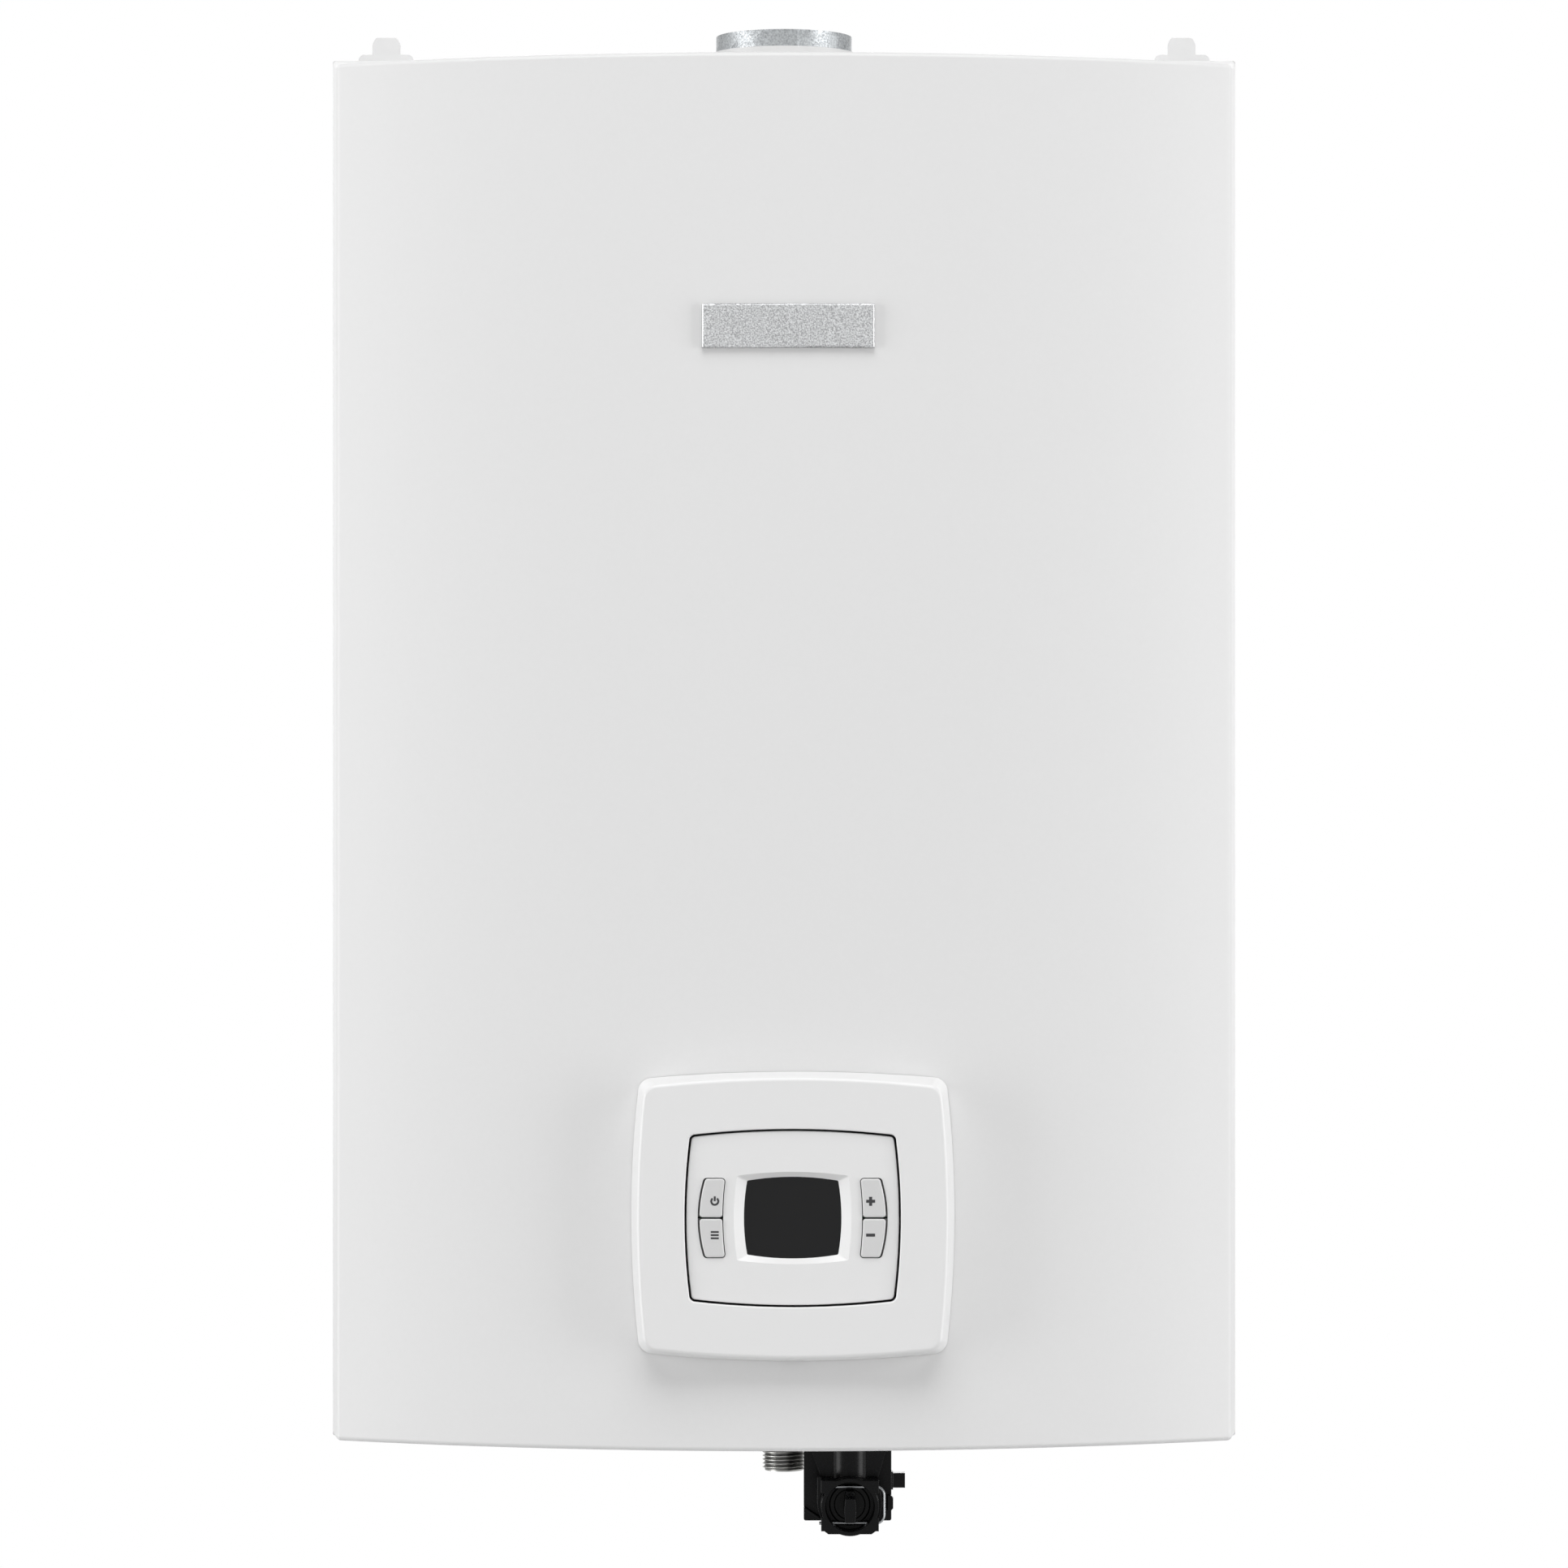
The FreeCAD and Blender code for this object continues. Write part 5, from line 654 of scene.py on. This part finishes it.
class HEATER_OT_threads(bpy.types.Operator):
    """Turn the three connections with real pipe threads"""

    bl_idname = "heater.threads"
    bl_label = "Threaded connections"

    CONNECTIONS = {"gas_inlet": "gas_connection", "hot_outlet": "hot_connection",
                   "cold_inlet": "cold_connection"}
    # Rows of mesh to one turn of thread
    ROWS = 12
    # Radii that the CAD solids use, where their boxes don't show them
    STEM = 9 * MM
    BORE = 6.5 * MM

    def thread_rings(self, low, top, radius, sizes):
        """Rings of the threaded length, from the bore's lower rim up to its shoulder."""
        lead = sizes.thread_pitch / 2
        run = top - low - lead
        count = math.ceil(run / sizes.thread_pitch * self.ROWS)
        rings = [(self.BORE, low, PLAIN), (radius - sizes.thread_depth, low, PLAIN)]
        return rings + [(radius, low + lead + run * step / count, THREADED)
                        for step in range(count + 1)]

    def neck_rings(self, node, top, high):
        """Rings over the thread: a shoulder, and what goes through the bottom panel."""
        gas_low, gas_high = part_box("gas_inlet")
        shoulder = (gas_high.x - gas_low.x) / 2
        if node == "cold_inlet":
            return [(shoulder, top, PLAIN), (shoulder, high, PLAIN)]
        underside, inside = (corner.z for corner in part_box("bottom_panel"))
        rings = [(shoulder, top, PLAIN), (shoulder, underside, PLAIN),
                 (self.STEM, underside, PLAIN)]
        if node == "gas_inlet":
            return rings + [(self.STEM, high, PLAIN)]
        hot_low, hot_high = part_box("hot_outlet")
        nut = (hot_high.y - hot_low.y) / 2
        return rings + [(self.STEM, inside, PLAIN), (nut, inside, HEXAGONAL),
                        (nut, high, HEXAGONAL)]

    def execute(self, context):
        sizes = settings().sizes
        tree = thread_tree()
        for node, mount in self.CONNECTIONS.items():
            low, high = (corner.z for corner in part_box(node))
            axis = Vector(MOUNT[mount]["pos_m"][:2])
            thread = MOUNT[mount]["dims"]
            top = low + thread["length_mm"] * MM
            rings = self.thread_rings(low, top, thread["r_mm"] * MM, sizes)
            rings += self.neck_rings(node, top, high)
            rings.append((self.BORE, high, PLAIN))
            slot = SLOT_OF[node]
            mesh = evaluated(lathe(node + "_blank", axis, rings), tree, {
                "Pitch": sizes.thread_pitch, "Depth": sizes.thread_depth,
                "Axis X": axis.x, "Axis Y": axis.y, "Finish": finish_of(slot)})
            piece = new_piece(node + "_threaded", shaded(mesh), BODY_OF[node], slot)
            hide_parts(node)
        return {"FINISHED"}


class HEATER_OT_signs(bpy.types.Operator):
    """Print the signs of the four keys"""

    bl_idname = "heater.signs"
    bl_label = "Key signs"

    # Sides of the display's middle on which each key lies, across and up
    KEYS = {"power": (-1, 1), "menu": (-1, -1), "plus": (1, 1), "minus": (1, -1)}
    # Signs stand this far from the display's middle, across and up
    FROM_CENTRE = 35.9 * MM
    FROM_SPLIT = 7.8 * MM
    # Bars of the menu: their step, and their width and stroke as shares of the bold sign's
    MENU_STEP, MENU_WIDTH, MENU_STROKE = 1.45 * MM, 0.9, 0.58
    # Ring of the power sign: its stroke as a share of the bold one, and half of its gap
    POWER_STROKE, POWER_GAP = 0.62, math.radians(40)
    # Bar of the power sign: its rise and its height as shares of the sign's width
    POWER_RISE, POWER_BAR = 0.28, 0.55

    def outlines(self, key, x, z, wide, bold):
        """Outlines of one key's sign around a centre."""
        if key == "plus":
            return [cross_outline(x, z, wide, bold)]
        if key == "minus":
            return [bar_outline(x, z, wide, bold)]
        if key == "menu":
            return [bar_outline(x, z + step * self.MENU_STEP, wide * self.MENU_WIDTH,
                                bold * self.MENU_STROKE) for step in (-1, 0, 1)]
        stroke = bold * self.POWER_STROKE
        return [arc_outline(x, z, wide / 2, wide / 2 - stroke, self.POWER_GAP),
                bar_outline(x, z + wide * self.POWER_RISE, stroke, wide * self.POWER_BAR)]

    def execute(self, context):
        sizes = settings().sizes
        # Pad-printed ink: a thin matt dark film
        ink = grained("pad_printed_ink", settings().colours.ink, spread=0.1, grain=0.5,
                      roughness=(0.45, 0.6), relief=0.004, ior=1.5)
        lens_low, lens_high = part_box("display_lens")
        middle = (lens_low + lens_high) / 2
        for key, (side, up) in self.KEYS.items():
            x = middle.x + side * self.FROM_CENTRE
            z = middle.z + up * self.FROM_SPLIT
            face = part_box(key + "_button")[0].y
            build = bmesh.new()
            for points in self.outlines(key, x, z, sizes.sign_width, sizes.sign_stroke):
                outline_solid(build, points, face - sizes.ink_lift, face + sizes.ink_lift)
            mesh = closed_mesh(key + "_sign", build)
            new_piece(key + "_sign", mesh, key + "_key", "black_plastic", ink)
        return {"FINISHED"}


class HEATER_OT_flue_seam(bpy.types.Operator):
    """Lay the welded seam on the front of the flue socket"""

    bl_idname = "heater.flue_seam"
    bl_label = "Flue seam"

    # Outside radius of the socket's tube, and the seam's place to the right of its middle
    TUBE = 32.75 * MM
    OFFSET = 7 * MM
    # The seam's edges lie this deep in the tube, so that no gap shows
    SINK = 0.05 * MM
    STEPS = 6
    SHARP_DEGREES = 50

    def execute(self, context):
        sizes = settings().sizes
        centre = Vector(MOUNT["flue_outlet"]["pos_m"][:2])
        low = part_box("top_panel")[0].z
        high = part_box("flue_socket")[1].z
        turn = -math.pi / 2 + math.asin(self.OFFSET / self.TUBE)
        half = sizes.seam_width / 2 / self.TUBE
        build = bmesh.new()
        rows = []
        for height in (low, high):
            row = []
            for step in range(self.STEPS + 1):
                share = step / self.STEPS
                angle = turn - half + 2 * half * share
                reach = self.TUBE - self.SINK + sizes.seam_lift * math.sin(math.pi * share)
                row.append(build.verts.new((centre.x + reach * math.cos(angle),
                                            centre.y + reach * math.sin(angle), height)))
            rows.append(row)
        foot, head = rows
        for step in range(self.STEPS):
            build.faces.new((foot[step], foot[step + 1], head[step + 1], head[step]))
        build.faces.new((foot[0], head[0], head[-1], foot[-1]))
        build.faces.new(foot[::-1])
        build.faces.new(head)
        mesh = shaded(closed_mesh("flue_seam", build), self.SHARP_DEGREES)
        new_piece("flue_seam", mesh, "chassis", "galvanised_steel")
        return {"FINISHED"}


class HEATER_OT_fasteners(bpy.types.Operator):
    """Set the hexagon screws of the casing and of the stack inside"""

    bl_idname = "heater.fasteners"
    bl_label = "Screws"

    # Casing screws: in from the sides, and from the front and back
    INSET = 6.2 * MM
    END = 30 * MM
    # Stack screws: under a joint, and in from the sides
    FROM_JOINT = 7 * MM
    FROM_SIDE = 16 * MM
    # Head: pressed edge of the washer, its seat for the hexagon, and the point that closes it
    EDGE, SEAT, POINT = 0.5 * MM, 0.9 * MM, 0.02 * MM
    # Radii of the hexagon's foot, top, dish and dish floor, as shares of half its flats
    FOOT, TOP, DISH, DISH_FLOOR = 1.16, 0.9, 0.7, 0.6
    HEAD_SEGMENTS = 24

    def head(self, sizes):
        """Screw head with a pressed washer and a dished hexagon, standing on its seat."""
        flats, washer, top = sizes.screw_across / 2, sizes.screw_washer, sizes.screw_head
        rings = [(self.POINT, 0, PLAIN), (washer, 0, PLAIN), (washer, self.EDGE, PLAIN),
                 (washer - self.EDGE, self.SEAT, PLAIN), (flats * self.FOOT, self.SEAT, PLAIN),
                 (flats, self.SEAT + self.EDGE / 5, HEXAGONAL),
                 (flats, top - self.EDGE / 2, HEXAGONAL),
                 (flats * self.TOP, top, PLAIN), (flats * self.DISH, top, PLAIN),
                 (flats * self.DISH_FLOOR, top - self.EDGE, PLAIN),
                 (self.POINT, top - self.EDGE, PLAIN)]
        mesh = lathe("screw_head", (0, 0), rings, segments=self.HEAD_SEGMENTS)
        return bpy.data.objects.new("screw_head", mesh)

    def casing_rows(self, count):
        """Screws along the side edges of the top and bottom sheets."""
        left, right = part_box("side_panel_left")[0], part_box("side_panel_right")[1]
        near, far = left.y + self.END, right.y - self.END
        for height, facing in ((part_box("hanger_plates")[0].z, 1.0), (left.z, -1.0)):
            for x in (left.x + self.INSET, right.x - self.INSET):
                for step in range(count):
                    y = near + (far - near) * step / (count - 1)
                    yield (x, y, height), (0.0, 0.0, facing)

    def stack_rows(self, count):
        """Screws along the front joints of burner, chamber, exchanger and hood."""
        low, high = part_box("combustion_chamber")
        left, right = low.x + self.FROM_SIDE, high.x - self.FROM_SIDE
        for joint in (low.z, high.z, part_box("flue_hood")[0].z):
            for step in range(count):
                x = left + (right - left) * step / (count - 1)
                yield (x, low.y, joint - self.FROM_JOINT), (0.0, -1.0, 0.0)

    def execute(self, context):
        sizes = settings().sizes
        tree = fastener_tree()
        for name, rows in (("casing_screws", self.casing_rows(sizes.casing_screws)),
                           ("stack_screws", self.stack_rows(sizes.stack_screws))):
            spots, aims = zip(*rows)
            points = bpy.data.meshes.new(name + "_points")
            points.from_pydata(spots, [], [])
            facing = points.attributes.new("facing", "FLOAT_VECTOR", "POINT")
            facing.data.foreach_set("vector", [share for aim in aims for share in aim])
            head = self.head(sizes)
            mesh = evaluated(points, tree, {
                "Fastener": head, "Finish": finish_of("spring_steel")})
            bpy.data.objects.remove(head)
            new_piece(name, shaded(mesh), "chassis", "spring_steel")
        return {"FINISHED"}


class HEATER_OT_stage(bpy.types.Operator):
    """Light the heater, lay the floor and set the camera"""

    bl_idname = "heater.stage"
    bl_label = "Stage"

    # Places and sizes in metres, the sensor in millimetres; the lamps face the middle
    CAMERA = (0.0, -2.807, -0.351)
    SENSOR = 36.0
    MIDDLE = (0.0, -0.12, -0.34)
    LEFT_LAMP, RIGHT_LAMP, SIDE_SIZE = (-3.95, -1.65, -0.45), (3.95, -1.65, -0.45), (1.9, 3.4)
    TOP_LAMP, TOP_SIZE = (0.0, -2.6, 4.0), (5.0, 3.0)
    REAR_LAMP, REAR_SIZE = (0.0, 3.4, 0.5), (2.6, 2.6)
    FLOOR_RADIUS = 12.0
    # The left lamp is a little stronger than the right one
    LEFT_GAIN = 1.02

    def lamp(self, name, spot, size, power):
        """Add a softbox that faces the middle of the object."""
        data = bpy.data.lights.new(name, "AREA")
        data.shape = "RECTANGLE"
        data.size, data.size_y = size
        data.energy = power
        item = bpy.data.objects.new(name, data)
        item.location = spot
        sight = Vector(self.MIDDLE) - Vector(spot)
        item.rotation_euler = sight.to_track_quat("-Z", "Y").to_euler()
        item.visible_camera = False
        bpy.context.scene.collection.objects.link(item)

    def background_level(self, tree, hidden, seen):
        """One level for the light that falls on things, another for the eye, gloss and glass."""
        path = add(tree, "ShaderNodeLightPath").outputs
        gloss = add(tree, "ShaderNodeMath", {0: path["Is Camera Ray"], 1: path["Is Glossy Ray"]},
                    operation="MAXIMUM").outputs[0]
        clear = add(tree, "ShaderNodeMath", {0: gloss, 1: path["Is Transmission Ray"]},
                    operation="MAXIMUM").outputs[0]
        return add(tree, "ShaderNodeMapRange", {
            "Value": clear, "To Min": hidden, "To Max": seen}).outputs[0]

    def world(self, ambient):
        """White background over a plain grey level of light."""
        world = bpy.data.worlds.new("studio")
        world.use_nodes = True
        tree = world.node_tree
        tree.nodes.clear()
        level = self.background_level(tree, ambient, 1.0)
        sky = add(tree, "ShaderNodeBackground", {"Color": WHITE, "Strength": level})
        add(tree, "ShaderNodeOutputWorld", {"Surface": sky.outputs[0]})
        bpy.context.scene.world = world

    def floor(self, level, glow):
        """Round floor far below the heater."""
        mesh = bpy.data.meshes.new("floor")
        build = bmesh.new()
        bmesh.ops.create_circle(build, cap_ends=True, segments=SEGMENTS, radius=self.FLOOR_RADIUS,
                                matrix=Matrix.Translation((0, 0, level)))
        build.to_mesh(mesh)
        build.free()
        # Matt painted board with a glow that lights nothing: pale and even, yet it keeps a shadow
        board = grained("painted_board", settings().colours.floor, spread=0.01, grain=30,
                        roughness=(0.7, 0.8), relief=0.0)
        shader = principled(board)
        shader.inputs["Emission Color"].default_value = WHITE
        lift = self.background_level(board.node_tree, 0.0, glow)
        board.node_tree.links.new(lift, shader.inputs["Emission Strength"])
        mesh.materials.append(board)
        floor = bpy.data.objects.new("floor", mesh)
        bpy.context.scene.collection.objects.link(floor)

    def camera(self, lens):
        """Camera straight before the heater, level."""
        data = bpy.data.cameras.new("camera")
        data.sensor_width = self.SENSOR
        data.lens = lens
        camera = bpy.data.objects.new("camera", data)
        camera.location = self.CAMERA
        camera.rotation_euler = (math.pi / 2, 0, 0)
        bpy.context.scene.collection.objects.link(camera)
        bpy.context.scene.camera = camera

    def execute(self, context):
        studio = settings().studio
        context.scene.view_settings.view_transform = "Standard"
        self.world(studio.ambient)
        self.lamp("left_softbox", self.LEFT_LAMP, self.SIDE_SIZE,
                  studio.side_power * self.LEFT_GAIN)
        self.lamp("right_softbox", self.RIGHT_LAMP, self.SIDE_SIZE, studio.side_power)
        self.lamp("top_softbox", self.TOP_LAMP, self.TOP_SIZE, studio.top_power)
        self.lamp("rear_softbox", self.REAR_LAMP, self.REAR_SIZE, studio.rear_power)
        self.floor(studio.floor_level, studio.floor_glow)
        self.camera(studio.lens)
        return {"FINISHED"}


PIECE_OPERATORS = (HEATER_OT_finishes, HEATER_OT_threads, HEATER_OT_signs, HEATER_OT_flue_seam,
                   HEATER_OT_fasteners, HEATER_OT_stage)


class HEATER_PT_panel(bpy.types.Panel):
    """List of the heater's steps and settings"""

    bl_idname = "HEATER_PT_panel"
    bl_label = "Water Heater"
    bl_space_type = "VIEW_3D"
    bl_region_type = "UI"
    bl_category = "Water Heater"

    def draw(self, context):
        for step in PIECE_OPERATORS:
            self.layout.operator(step.bl_idname)
        for block in (settings().colours, settings().sizes, settings().studio):
            box = self.layout.box()
            for name in block.__annotations__:
                box.prop(block, name)


CLASSES = (HeaterColours, HeaterSizes, HeaterStudio, HeaterSettings, *PIECE_OPERATORS,
           HEATER_PT_panel)


def register():
    """Add the classes and the settings to Blender."""
    for item in CLASSES:
        bpy.utils.register_class(item)
    bpy.types.Scene.water_heater = PointerProperty(type=HeaterSettings)


def unregister():
    """Take the settings and the classes out again."""
    del bpy.types.Scene.water_heater
    for item in reversed(CLASSES):
        bpy.utils.unregister_class(item)


def main():
    """Make every piece in order."""
    register()
    bpy.ops.heater.finishes()
    bpy.ops.heater.threads()
    bpy.ops.heater.signs()
    bpy.ops.heater.flue_seam()
    bpy.ops.heater.fasteners()
    bpy.ops.heater.stage()


if __name__ == "__main__":
    main()
